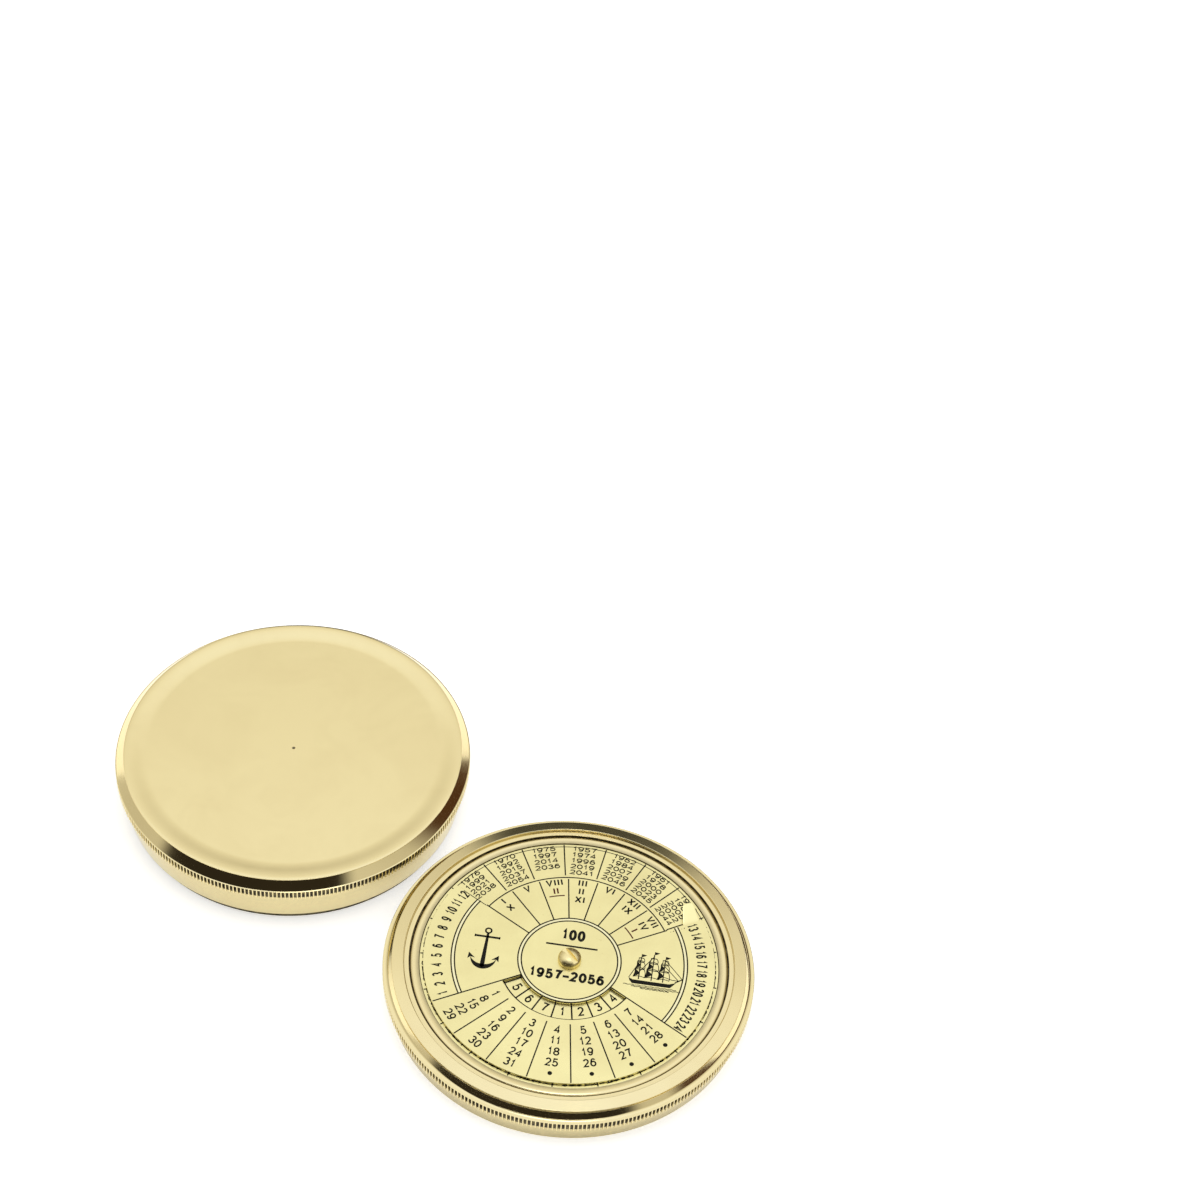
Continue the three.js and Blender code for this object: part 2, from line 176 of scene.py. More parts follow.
class CaseSizes(PropertyGroup):
    """Sizes that both halves of the brass case share."""

    teeth: IntProperty(name="Teeth", description="Grooves round the knurled band", default=286,
                       min=24)
    knurl_height: size("Knurl height", 2.4, "Height of the knurled band with its flange")
    knurl_proud: size("Knurl proud", 0.55, "How far the band stands out from the wall")
    groove_depth: size("Groove depth", 0.5, "Depth of the knurl's grooves")
    flange_height: size("Flange height", 0.1, "Plain band above the grooves")
    chamfer: size("Chamfer", 0.15, "Chamfer at the top and foot of the band")
    shoulder_height: size("Shoulder height", 1.85, "Height of the hollow shoulder over the band")
    shoulder_width: size("Shoulder width", 1.9, "How far the sharp edge lies inside the band")
    lid_shoulder: turn("Lid shoulder", 55.0, "Slope of the lid's shoulder")
    lid_lip: size("Lid lip", 0.55, "Upright part of the lid's shoulder under the sharp edge")
    lid_ledge: size("Lid ledge", 0.4, "Level part of the lid's shoulder over the band")
    bowl_shoulder: turn("Bowl shoulder", 46.5, "Slope of the bowl's shoulder")
    bowl_lip: size("Bowl lip", 0.12, "Upright part of the bowl's shoulder under the sharp edge")
    edge_round: size("Edge rounding", 0.07, "Rounding of the sharp edges")
    mouth_chamfer: size("Mouth chamfer", 0.2, "Chamfer of the mouth's lips")
    bore_wall: size("Bore wall", 0.95, "Wall of the lid at its mouth")
    lid_flare: size("Lid flare", 0.65, "How much the lid's wall widens up to the band")
    lid_wall: size("Lid wall height", 4.65, "Height of the lid's plain wall")
    lid_web: size("Lid web", 1.2, "Thickness of the lid's floor under the dial")
    lid_corner: size("Lid corner", 1.1, "Rounding inside the lid")
    land_width: size("Land width", 2.5, "Width of the rim's outer land")
    land_rise: size("Land rise", 0.5, "How much the outer land rises inwards")
    step_width: size("Step width", 1.2, "Width of the rim's step")
    step_depth: size("Step depth", 0.62, "Height of the step beside the land")
    step_round: size("Step rounding", 0.1, "Rounding of the land's inner edge")
    step_groove: size("Step groove", 0.2, "Width and depth of the cut at the inner step's foot")
    bevel_width: size("Bevel width", 2.15, "Width of the bevel down to the dial")
    bevel_step: size("Bevel step", 0.25, "Height of the bevel's foot over the year plate")
    bevel_slope: turn("Bevel slope", 6.0, "Slope of the bevel beside the dial")
    bevel_crown: size("Bevel crown", 0.85, "Width of the bevel's rounded outer end")
    bevel_fall: turn("Bevel fall", 38.0, "How steeply the bevel falls at its outer end")
    seat: size("Seat", 0.05, "Room between a seated piece and what carries it")
    collar_height: size("Collar height", 2.0, "Height of the bowl's threaded collar")
    collar_wall: size("Collar wall", 1.0, "Wall of the collar")
    bowl_wall: size("Bowl wall height", 7.55, "Height of the bowl's plain wall")
    bowl_flare: size("Bowl flare", 1.15, "How much the bowl's wall widens up to the band")
    bowl_corner: size("Bowl corner", 1.6, "Rounding inside the bowl")
    ledge: size("Ledge", 0.8, "Width of the ledge that carries the glass")
    foot_rise: size("Foot rise", 0.06, "Height of the foot ring over the sharp edge")
    foot_round: size("Foot rounding", 0.6, "Distance of the foot ring's crest from the sharp edge")
    bottom_sink: size("Bottom sink", 0.43, "How deep the plain bottom lies under the foot ring")
    bottom_slope: size("Bottom slope", 4.5, "Width of the soft slope down to the bottom")
    mark_radius: size("Centre mark", 0.3, "Radius of the turning mark in the bottom's middle")
    mark_depth: size("Centre mark depth", 0.25, "Depth of the turning mark")
    thread_depth: size("Thread depth", 0.4, "Height of the screw ridge")
    thread_pitch: size("Thread pitch", 0.8, "Rise of the screw ridge in one turn")
    thread_width: size("Thread width", 0.6, "Width of the screw ridge at its root")
    thread_start: size("Thread start", 0.5, "Height at which the ridge starts")
    thread_room: size("Thread room", 0.1, "Room between the lid's bore and the bowl's ridge")
    thread_turns: FloatProperty(name="Thread turns", description="Turns of the ridge", default=1.5,
                                min=0.1)


class DialSizes(PropertyGroup):
    """Sizes of the year plate, the calendar disc and the screw that holds them."""

    edge: size("Edge", 0.06, "Rounding of the disc's and the plate's edges")
    disc_turn: turn("Disc turn", 4.2, "How far the disc is turned clockwise")
    plate_turn: turn("Plate turn", 2.6, "How far the year plate is turned clockwise")
    disc_thickness: size("Disc thickness", 0.5, "Thickness of the calendar disc")
    window_depth: size("Window depth", 8.45, "How far the year window is cut in from the rim")
    hub_radius: size("Hub radius", 11.2, "Inner edge of the day window")
    day_window: size("Day window", 4.3, "Width of the day window")
    tab_length: size("Tab length", 4.3, "Length of the finger tab")
    tab_base: size("Tab base", 4.1, "Width of the finger tab at its root")
    tab_tip: size("Tab tip", 2.3, "Width of the finger tab near its tip")
    tab_inset: size("Tab inset", 0.6, "Distance of the tab from the disc's rim")
    tab_round: size("Tab rounding", 0.45, "Rounding of the tab's tip")
    tab_slope: turn("Tab slope", 16.0, "How steeply the tab is bent up")
    slot_width: size("Slot width", 1.1, "Width of the screw's slot")
    slot_depth: size("Slot depth", 0.8, "Depth of the screw's slot")
    slot_turn: turn("Slot turn", -49.0, "Direction of the screw's slot")
    head_side: size("Head side", 0.6, "Height of the upright side of the screw's head")
    head_dome: size("Head dome", 1.45, "Height of the dome over that side")
    washer_wave: size("Washer wave", 0.1, "How far the spring washer is waved up and down")
    washer_waves: IntProperty(name="Washer waves", description="Waves round the washer", default=3,
                              min=2)
    washer_round: size("Washer rounding", 0.03, "Rounding of the spring washer's edges")
    nut_chamfer: size("Nut chamfer", 0.25, "Height of the turned-down corners of the nut")


class PivotSizes(PropertyGroup):
    """Sizes of the small pieces that the compass card carries and turns on."""

    cap_flat: size("Cap flat", 0.85, "Radius of the flat top of the cap's crown")
    cap_crown: size("Cap crown", 1.7, "Radius of the cap's crown at its foot")
    cap_wall: size("Cap wall", 0.5, "Height of the cap's crown and thickness of its flange")
    stone_cup: size("Stone cup", 0.75, "Radius of the cup in the bearing stone")
    cup_play: size("Cup play", 0.1, "Room between the cup and the pin's point")
    pin_point: size("Pin point", 0.06, "Rounding of the pin's point")
    pin_taper: size("Pin taper", 2.0, "Length of the pin's taper")
    stud_radius: size("Stud radius", 1.4, "Radius of the stud over its flange")
    stud_flange: size("Stud flange", 0.9, "Thickness of the stud's flange")
    magnet_round: size("Magnet rounding", 0.15, "Rounding of the magnets' edges")


class PrintSizes(PropertyGroup):
    """Sizes of the printed lines and numbers."""

    film: size("Film", 0.012, "How far the print stands over the metal")
    sink: size("Sink", 0.004, "How far the print reaches into the metal")
    line: size("Line", 0.29, "Width of the dial's lines")
    thin_line: size("Thin line", 0.17, "Width of the finest lines")
    hub_ring: size("Hub ring", 10.35, "Radius of the inner hub ring")
    ring_gap: size("Ring gap", 0.75, "Distance between the lines of a double ring")
    month_top: size("Month top", 21.9, "Outer end of the lines between the months")
    month_row: size("Month row", 21.0, "Radius of the outer row of months")
    month_step: size("Month step", 2.3, "Distance between rows of months")
    month_height: size("Month height", 1.85, "Height of the month numbers")
    date_row: size("Date row", 18.2, "Radius of the first row of dates")
    date_step: size("Date step", 2.75, "Distance between rows of dates")
    date_height: size("Date height", 2.05, "Height of the date numbers")
    year_row: size("Year row", 24.35, "Radius of the inner row of years")
    year_step: size("Year step", 1.65, "Distance between rows of years")
    year_height: size("Year height", 1.32, "Height of the year numbers")
    day_height: size("Day height", 2.3, "Height of the weekday numbers")
    side_ring: size("Side ring", 24.65, "Radius of the inner side arc")
    hour_row: size("Hour row", 28.5, "Radius of the numbers in the side bands")
    hour_height: size("Hour height", 2.35, "Height of the numbers in the side bands")
    # The year plate's ring line lies just outside the disc's rim and is partly painted shadow of
    # that rim.
    plate_ring: size("Plate ring", 31.45, "Radius of the year plate's worn ring line")
    figure: size("Figure", 18.3, "Distance of the anchor and the ship from the middle")
    anchor_height: size("Anchor height", 10.7, "Height of the anchor")
    ship_width: size("Ship width", 12.4, "Width of the ship")
    ship_rise: size("Ship rise", 0.2, "How far the ship sits over the dial's middle line")
    span_row: size("Span row", 6.6, "Height of the calendar's number of years over the middle")
    span_height: size("Span height", 2.9, "Height of that number")
    rule_row: size("Rule row", 3.6, "Height of the line under that number over the middle")
    rule_reach: size("Rule reach", 5.6, "Half the length of that line")
    range_row: size("Range row", 4.3, "Depth of the first and last year under the middle")
    range_height: size("Range height", 2.6, "Height of the first and last year")


class Finishes(PropertyGroup):
    """Colours and roughness of the metals and the print."""

    polished: colour("Polished brass", (0.87, 0.745, 0.4), "Turned and polished brass")
    polished_roughness: amount("Polished roughness", 0.1, "Roughness of the polished brass")
    dial: colour("Dial brass", (0.95, 0.86, 0.42), "Lacquered brass of the dial")
    dial_roughness: amount("Dial roughness", 0.3, "Roughness of the lacquered brass")
    screw: colour("Screw brass", (1.0, 0.86, 0.43), "Yellow brass of the small turned pieces")
    bright: colour("Bright brass", (0.98, 0.92, 0.58), "Brass between the lines of a double ring")
    tarnish: colour("Tarnish", (0.5, 0.33, 0.1), "Brown that gathers in the metal's corners")
    # Dark colour painted into grooves and hollows, for residue and for painted shade there.
    grime: colour("Grime", (0.03, 0.022, 0.012), "Dark residue in grooves")
    ink: colour("Ink", (0.012, 0.011, 0.006), "Dark print")
    red_ink: colour("Red ink", (0.11, 0.02, 0.01), "Print of the leap year months")
    steel: colour("Steel", (0.55, 0.56, 0.58), "Bright spring steel")
    magnet: colour("Magnet steel", (0.1, 0.105, 0.11), "Dark magnet steel")
    card: colour("Card", (0.86, 0.84, 0.76), "White paint of the card")
    stone: colour("Stone", (0.5, 0.02, 0.06), "Red bearing stone")
    rubber: colour("Rubber", (0.018, 0.018, 0.018), "Black gasket")


class StageSizes(PropertyGroup):
    """The camera and the light round the object."""

    camera_place: FloatVectorProperty(name="Camera", description="Place of the camera", size=3,
                                      default=(0.0333, -0.3555, 0.4573), subtype="TRANSLATION")
    camera_pitch: turn("Camera pitch", 45.58, "How far the camera looks down")
    camera_roll: turn("Camera roll", 4.72, "How far the camera is rolled")
    lens: FloatProperty(name="Lens", description="Focal length on a 36 mm sensor", default=77.16,
                        unit="CAMERA")
    floor_size: size("Floor size", 4000.0, "Width of the floor")
    floor_colour: colour("Floor", (0.93, 0.925, 0.9), "Pale floor")
    top_sky: colour("Tent top", (0.5, 0.5, 0.52), "Light tent straight overhead")
    high_sky: colour("High tent", (0.77, 0.8, 0.9), "Light tent high up")
    sky: colour("Tent", (0.714, 0.707, 0.693), "White of the light tent")
    low_sky: colour("Low tent", (0.47, 0.45, 0.415), "Tent near the horizon")
    screen: colour("Dark screen", (0.04, 0.04, 0.037), "Higher dark screen behind")
    brown: colour("Brown screen", (0.06, 0.027, 0.012), "Lower brown screen behind, at the right")
    dark: colour("Dark room", (0.02, 0.016, 0.012), "Dark room behind the camera")
    tent_strength: FloatProperty(name="Tent strength", description="Brightness of the tent",
                                 default=1.4)
    glow: FloatProperty(name="Floor glow", description="Light that the floor gives off",
                        default=0.66)


def group_of(name):
    """One of the property groups on the scene."""
    return getattr(bpy.context.scene, name)


def new_object(name, mesh, material, body, slot, *replaced):
    """Puts a mesh in the scene with its finish, riding on a body in the place of its nodes."""
    piece = bpy.data.objects.new(name, mesh)
    bpy.context.scene.collection.objects.link(piece)
    mesh.materials.clear()
    mesh.materials.append(material)
    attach(piece, body)
    if replaced:
        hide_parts(*replaced)
    return piece


def shade(mesh):
    """Smooth shading that breaks at sharp edges. Level faces stay flat."""
    mesh.polygons.foreach_set("use_smooth", [True] * len(mesh.polygons))
    mesh.set_sharp_from_angle(angle=SHARP_EDGE)
    sloping = [abs(face.normal.z) < UPRIGHT for face in mesh.polygons]
    mesh.polygons.foreach_set("use_smooth", sloping)


def mesh_from(name, points, faces, grime=None):
    """A mesh of points and faces, with its share of residue and painted shade at each point."""
    mesh = bpy.data.meshes.new(name)
    mesh.from_pydata(points, [], faces)
    dirt_and_shade = mesh.attributes.new("grime", "FLOAT", "POINT")
    dirt_and_shade.data.foreach_set("value", grime or [0.0] * len(points))
    mesh.update()
    shade(mesh)
    return mesh


def rounded(profile, loop=True):
    """The profile with each corner that has a fillet turned into a short arc."""
    points = []
    for place, corner in enumerate(profile):
        at_end = not loop and place in (0, len(profile) - 1)
        if corner.fillet <= 0 or at_end:
            points.append(corner)
            continue
        here = Vector((corner.radius, corner.height))
        before = profile[place - 1]
        after = profile[(place + 1) % len(profile)]
        back = Vector((before.radius, before.height)) - here
        ahead = Vector((after.radius, after.height)) - here
        half = back.angle(ahead) / 2
        if half > NEARLY_STRAIGHT:
            points.append(corner)
            continue
        run = min(corner.fillet / tan(half), FILLET_SHARE * back.length,
                  FILLET_SHARE * ahead.length)
        reach = run * tan(half)
        centre = here + (back.normalized() + ahead.normalized()).normalized() * (reach / sin(half))
        start = here + back.normalized() * run - centre
        end = here + ahead.normalized() * run - centre
        path = [centre + start.lerp(end, step / FILLET_STEPS).normalized() * reach
                for step in range(FILLET_STEPS + 1)]
        hold = min(HOLD_SHARE * run, HOLD)
        path.insert(0, path[0] + back.normalized() * hold)
        path.append(path[-1] + ahead.normalized() * hold)
        points += [corner._replace(radius=point.x, height=point.y, fillet=0.0) for point in path]
    return points


def ridge_height(angle, height):
    """How much of the screw ridge stands at this bearing and height, from nought to one.

    The ridge's ends run out over a twelfth of a turn.
    """
    case = group_of("compass_case")
    most = 0.0
    for lap in range(int(case.thread_turns) + 1):
        laps = angle / (2 * pi) + lap
        if laps > case.thread_turns:
            break
        end_fade = min(1.0, 12 * laps, 12 * (case.thread_turns - laps))
        off = abs(height - case.thread_start - case.thread_pitch * laps)
        most = max(most, end_fade * (1 - off / (case.thread_width / 2)))
    return max(0.0, most)


def apart(profile):
    """The profile without the corners that repeat the place of the one before."""
    kept = profile[:1]
    for corner in profile[1:]:
        run = abs(corner.radius - kept[-1].radius)
        rise = abs(corner.height - kept[-1].height)
        if run + rise > SAME_CORNER:
            kept.append(corner)
    return kept


def turned(name, axis, profile, columns=ROUND_COLUMNS, loop=True):
    """One closed solid turned round a vertical axis. The profile runs up its outside first."""
    points = []
    grime = []
    rings = []
    for corner in apart(profile):
        if corner.radius <= 0:
            rings.append([len(points)])
            points.append((axis.x, axis.y, corner.height))
            grime.append(corner.grime)
            continue
        fine = corner.groove is not None
        count = columns * (FINE_PER_TOOTH if fine else 1)
        ring = []
        for column in range(count):
            tooth, part = divmod(column, FINE_PER_TOOTH) if fine else (column, 0)
            share = TOOTH_SHARES[part] if fine else 0.0
            bearing = 2 * pi * (tooth + share) / columns
            cut = TOOTH_CUTS[part] * corner.groove if fine else 0.0
            radius = corner.radius - cut
            if corner.thread:
                radius += corner.thread * ridge_height(bearing, corner.height)
            ring.append(len(points))
            points.append((axis.x + radius * cos(bearing), axis.y + radius * sin(bearing),
                           corner.height))
            # The knurl's cuts are painted fully dark, as painted shade in the grooves.
            grime.append(1.0 if cut > 0 else corner.grime)
        rings.append(ring)
    faces = []
    pairs = list(zip(rings, rings[1:]))
    if loop:
        pairs.append((rings[-1], rings[0]))
    for lower, upper in pairs:
        faces += ring_faces(lower, upper)
    return mesh_from(name, points, faces, grime)


def ring_faces(lower, upper):
    """Faces between two rings of a turned solid.

    One of them may be a single point on the axis, or have the fine columns of the teeth.
    """
    count = max(len(lower), len(upper))
    steps = [(i, (i + 1) % count) for i in range(count)]
    if len(lower) == 1:
        return [(lower[0], upper[after], upper[i]) for i, after in steps]
    if len(upper) == 1:
        return [(lower[i], lower[after], upper[0]) for i, after in steps]
    if len(lower) == len(upper):
        return [(lower[i], lower[after], upper[after], upper[i]) for i, after in steps]
    coarse, fine = (lower, upper) if len(lower) < len(upper) else (upper, lower)
    half = FINE_PER_TOOTH // 2
    faces = []
    for i, here in enumerate(coarse):
        there = coarse[(i + 1) % len(coarse)]
        edge = [fine[(FINE_PER_TOOTH * i + k) % len(fine)] for k in range(FINE_PER_TOOTH + 1)]
        fan = [(here, edge[k + 1], edge[k]) for k in range(half)]
        fan.append((here, there, edge[half]))
        fan += [(there, edge[k + 1], edge[k]) for k in range(half, FINE_PER_TOOTH)]
        faces += fan if coarse is lower else [face[::-1] for face in fan]
    return faces


def ring_profile(inner, outer, base, top, fillet):
    """Profile of a flat ring or, with no inner radius, of a flat disc, with rounded edges."""
    outside = [Turn(outer, base, fillet=fillet), Turn(outer, top, fillet=fillet)]
    if inner > 0:
        return rounded([Turn(inner, base, fillet=fillet), *outside,
                        Turn(inner, top, fillet=fillet)])
    return rounded([Turn(0.0, base), *outside, Turn(0.0, top)], loop=False)


def turned_ring(name, node, axis, fillet, columns=ROUND_COLUMNS):
    """A flat ring or disc in the place of a node, with its edges rounded."""
    inner, outer, base, top = ring_of(node, axis)
    profile = ring_profile(inner, outer, base, top, fillet)
    return turned(name, axis, profile, columns, loop=inner > 0)


def slab(points, faces, thickness):
    """The points and faces of a sheet given a thickness downwards, closed along its open edges."""
    count = len(points)
    below = [(x, y, z - thickness) for x, y, z in points]
    edges = dict.fromkeys(edge for face in faces for edge in zip(face, face[1:] + face[:1]))
    sides = [(a + count, b + count, b, a) for a, b in edges if (b, a) not in edges]
    bottoms = [tuple(corner + count for corner in reversed(face)) for face in faces]
    return list(points) + below, list(faces) + bottoms + sides


def bevelled(mesh, width, sharper_than=50):
    """Rounds the sharp edges of a mesh in place."""
    work = bmesh.new()
    work.from_mesh(mesh)
    bmesh.ops.remove_doubles(work, verts=work.verts, dist=SAME_POINT)
    sharp = [edge for edge in work.edges
             if edge.is_manifold and edge.calc_face_angle() > radians(sharper_than)]
    bmesh.ops.bevel(work, geom=sharp, offset=width, segments=2, profile=0.5,
                    affect="EDGES", clamp_overlap=True)
    work.to_mesh(mesh)
    work.free()
    shade(mesh)


class Board:
    """The nodes of a new material, or of a world, added one at a time."""

    def __init__(self, name="", world=None):
        self.owner = world or bpy.data.materials.new(name)
        self.owner.use_nodes = True
        self.tree = self.owner.node_tree

    def add(self, kind, *values, **settings):
        """A node with its settings, whose first inputs take values or other nodes' outputs."""
        node = self.tree.nodes.new(kind)
        for key, value in settings.items():
            setattr(node, key, value)
        for place, value in enumerate(values):
            if value is not None:
                self.put(value, node.inputs[place])
        return node

    def put(self, value, socket):
        """Sets a socket to a value, or joins another node's output to it."""
        if isinstance(value, bpy.types.NodeSocket):
            self.tree.links.new(value, socket)
        elif socket.type == "RGBA":
            socket.default_value = (*value, 1.0)
        else:
            socket.default_value = value

    def maths(self, operation, *values):
        """The result of a sum on numbers or outputs."""
        return self.add("ShaderNodeMath", *values, operation=operation).outputs[0]

    def vector(self, operation, *values):
        """A vector sum's node."""
        return self.add("ShaderNodeVectorMath", *values, operation=operation)

    def spread(self, value, low, high, to_low, to_high):
        """A number moved from one range to another, held inside it."""
        node = self.add("ShaderNodeMapRange", value, low, high, to_low, to_high, clamp=True)
        return node.outputs["Result"]

    def mixed(self, share, first, second):
        """A colour between two colours."""
        node = self.add("ShaderNodeMix", data_type="RGBA")
        start, end = (socket for socket in node.inputs if socket.type == "RGBA")
        self.put(share, node.inputs["Factor"])
        self.put(first, start)
        self.put(second, end)
        return next(socket for socket in node.outputs if socket.type == "RGBA")

    def noise(self, scale, detail=3.0, roughness=0.5, distortion=0.0):
        """Values of a three-dimensional noise in the piece's own coordinates."""
        place = self.add("ShaderNodeTexCoord").outputs["Object"]
        node = self.add("ShaderNodeTexNoise")
        self.put(place, node.inputs["Vector"])
        node.inputs["Scale"].default_value = scale
        node.inputs["Detail"].default_value = detail
        node.inputs["Roughness"].default_value = roughness
        node.inputs["Distortion"].default_value = distortion
        return node.outputs["Fac"]

    def grime(self):
        """The share of residue and painted shade that the mesh carries at each point."""
        return self.add("ShaderNodeAttribute", attribute_name="grime").outputs["Fac"]

    def turning_marks(self, axis, scale, detail=2.0):
        """Values that change with the distance from an axis and with height, as lathe marks do."""
        place = self.add("ShaderNodeTexCoord").outputs["Object"]
        moved = self.vector("SUBTRACT", place, (axis.x, axis.y, 0.0)).outputs[0]
        flat = self.vector("MULTIPLY", moved, (1.0, 1.0, 0.0)).outputs[0]
        radius = self.vector("LENGTH", flat).outputs["Value"]
        height = self.add("ShaderNodeSeparateXYZ", moved).outputs["Z"]
        along = self.maths("ADD", radius, height)
        node = self.add("ShaderNodeTexNoise", noise_dimensions="1D")
        self.put(along, node.inputs["W"])
        node.inputs["Scale"].default_value = scale
        node.inputs["Detail"].default_value = detail
        return node.outputs["Fac"]

    def bump(self, height, strength, distance):
        """A bump whose strength and depth are set on the node itself."""
        node = self.add("ShaderNodeBump")
        node.inputs["Strength"].default_value = strength
        node.inputs["Distance"].default_value = distance
        self.put(height, node.inputs["Height"])
        return node.outputs["Normal"]

    def finish(self, **values):
        """Sets or joins the shader's own sockets and gives the material back."""
        shader = self.tree.nodes["Principled BSDF"]
        for name, value in values.items():
            self.put(value, shader.inputs[name.replace("_", " ")])
        return self.owner


def turned_brass(name, base, roughness, axis, mottle=0.1, marks=0.03):
    """Polished brass with faint turning marks, cloudy tarnish, and dark residue and painted shade
    in its grooves.
    """
    finishes = group_of("compass_finishes")
    board = Board(name)
    cloud = board.noise(55.0, 5.0, 0.62, distortion=0.6)
    speck = board.noise(900.0, 3.0, 0.6)
    rings = board.turning_marks(axis, 3800.0)
    tarnish = board.spread(cloud, 0.42, 0.78, 0.0, mottle)
    metal = board.mixed(tarnish, base, finishes.tarnish)
    # The dark colour goes where the mesh carries residue and painted shade, patchy with the specks.
    dirt_and_shade = board.grime()
    patchy = board.maths("MULTIPLY", dirt_and_shade, board.spread(speck, 0.25, 0.6, 0.75, 1.0))
    coloured = board.mixed(patchy, metal, finishes.grime)
    rough = board.maths("ADD", board.spread(cloud, 0.35, 0.75, roughness * 0.8, roughness * 1.5),
                        board.maths("MULTIPLY", dirt_and_shade, 0.4))
    height = board.maths("ADD", board.maths("MULTIPLY", rings, 0.85),
                         board.maths("MULTIPLY", speck, 0.15))
    normal = board.bump(height, marks, 0.01 * MM)
    return board.finish(Base_Color=coloured, Metallic=1.0, Roughness=rough, Normal=normal)


def dial_brass():
    """Lacquered brass sheet with a fine grain and soft clouds."""
    finishes = group_of("compass_finishes")
    board = Board("Dial brass")
    cloud = board.noise(70.0, 4.0, 0.55, distortion=0.4)
    grain = board.noise(2600.0, 2.0, 0.6)
    specks = board.noise(1100.0, 2.0, 0.5)
    toned = board.mixed(board.spread(cloud, 0.4, 0.75, 0.0, 0.12), finishes.dial, finishes.tarnish)
    dust = board.spread(specks, 0.68, 0.76, 0.0, 0.16)
    dirt_and_shade = board.grime()
    worn = board.mixed(board.maths("MAXIMUM", dust, dirt_and_shade), toned, finishes.tarnish)
    satin = finishes.dial_roughness
    rough = board.spread(cloud, 0.35, 0.7, satin * 0.85, satin * 1.2)
    normal = board.bump(grain, 0.06, 0.01 * MM)
    return board.finish(Base_Color=worn, Metallic=1.0, Roughness=rough, Normal=normal,
                        Coat_Weight=0.15, Coat_Roughness=0.12)


def printed_ink(name, tint):
    """Dark print, a little patchy where it has worn."""
    board = Board(name)
    patches = board.noise(700.0, 3.0, 0.6)
    worn = board.mixed(board.spread(patches, 0.55, 0.8, 0.0, 0.12), tint,
                       [min(1.0, 4 * part + 0.02) for part in tint])
    rough = board.spread(patches, 0.3, 0.7, 0.5, 0.7)
    return board.finish(Base_Color=worn, Metallic=0.0, Roughness=rough, Specular_IOR_Level=0.15,
                        Normal=board.bump(patches, 0.1, 0.004 * MM))


def bright_steel(name, tint, roughness, grain_scale):
    """Steel with a fine uneven grain."""
    board = Board(name)
    cloud = board.noise(180.0, 4.0)
    grain = board.noise(grain_scale, 3.0, 0.65)
    toned = board.mixed(board.spread(cloud, 0.4, 0.7, 0.0, 0.35), tint,
                        [0.6 * part for part in tint])
    rough = board.spread(grain, 0.3, 0.7, roughness * 0.8, roughness * 1.3)
    return board.finish(Base_Color=toned, Metallic=1.0, Roughness=rough,
                        Normal=board.bump(grain, 0.15, 0.01 * MM))


def painted_card():
    """Matt white paint with a faint unevenness."""
    finishes = group_of("compass_finishes")
    board = Board("Card paint")
    cloud = board.noise(90.0, 4.0)
    grain = board.noise(1800.0, 3.0, 0.6)
    toned = board.mixed(board.spread(cloud, 0.35, 0.75, 0.0, 0.3), finishes.card,
                        [0.85 * part for part in finishes.card])
    rough = board.spread(grain, 0.3, 0.7, 0.55, 0.75)
    return board.finish(Base_Color=toned, Roughness=rough,
                        Normal=board.bump(grain, 0.12, 0.01 * MM))


def clear_glass():
    """Clear glass with faint smears."""
    board = Board("Clear glass")
    smear = board.noise(120.0, 4.0, 0.6, distortion=1.2)
    rough = board.spread(smear, 0.45, 0.8, 0.01, 0.07)
    return board.finish(Base_Color=(0.96, 0.985, 0.98), Roughness=rough, IOR=1.5,
                        Transmission_Weight=1.0, Normal=board.bump(smear, 0.02, 0.01 * MM))


def bearing_stone():
    """Polished red stone with faint clouds."""
    finishes = group_of("compass_finishes")
    board = Board("Bearing stone")
    cloud = board.noise(900.0, 3.0)
    toned = board.mixed(board.spread(cloud, 0.35, 0.7, 0.0, 0.5), finishes.stone,
                        [0.4 * part for part in finishes.stone])
    rough = board.spread(cloud, 0.3, 0.7, 0.05, 0.12)
    return board.finish(Base_Color=toned, Roughness=rough, IOR=1.76, Transmission_Weight=0.35,
                        Coat_Weight=0.5)


def black_rubber():
    """Matt black rubber with a fine grain."""
    finishes = group_of("compass_finishes")
    board = Board("Gasket rubber")
    grain = board.noise(2400.0, 3.0, 0.7)
    toned = board.mixed(board.spread(grain, 0.4, 0.7, 0.0, 0.5), finishes.rubber,
                        (0.05, 0.05, 0.052))
    rough = board.spread(grain, 0.3, 0.7, 0.75, 0.95)
    return board.finish(Base_Color=toned, Roughness=rough,
                        Normal=board.bump(grain, 0.4, 0.02 * MM))


def polished_brass(axis, name):
    """The case's own brass, turned round the axis of one half."""
    finishes = group_of("compass_finishes")
    return turned_brass(name, finishes.polished, finishes.polished_roughness, axis)


def small_brass(axis, name):
    """Yellow brass of the small turned pieces."""
    finishes = group_of("compass_finishes")
    return turned_brass(name, finishes.screw, 0.27, axis, mottle=0.2, marks=0.06)


def bow(centre, reach, start, end, steps=10):
    """Points of an elliptic arc between two angles in degrees, for a glyph."""
    angles = [radians(start + (end - start) * k / steps) for k in range(steps + 1)]
    return [(centre[0] + reach[0] * cos(a), centre[1] + reach[1] * sin(a)) for a in angles]


def loop_of(centre, reach):
    """A closed ellipse for a glyph."""
    points = bow(centre, reach, 90, 450, 18)
    return points[:-1] + points[:1]


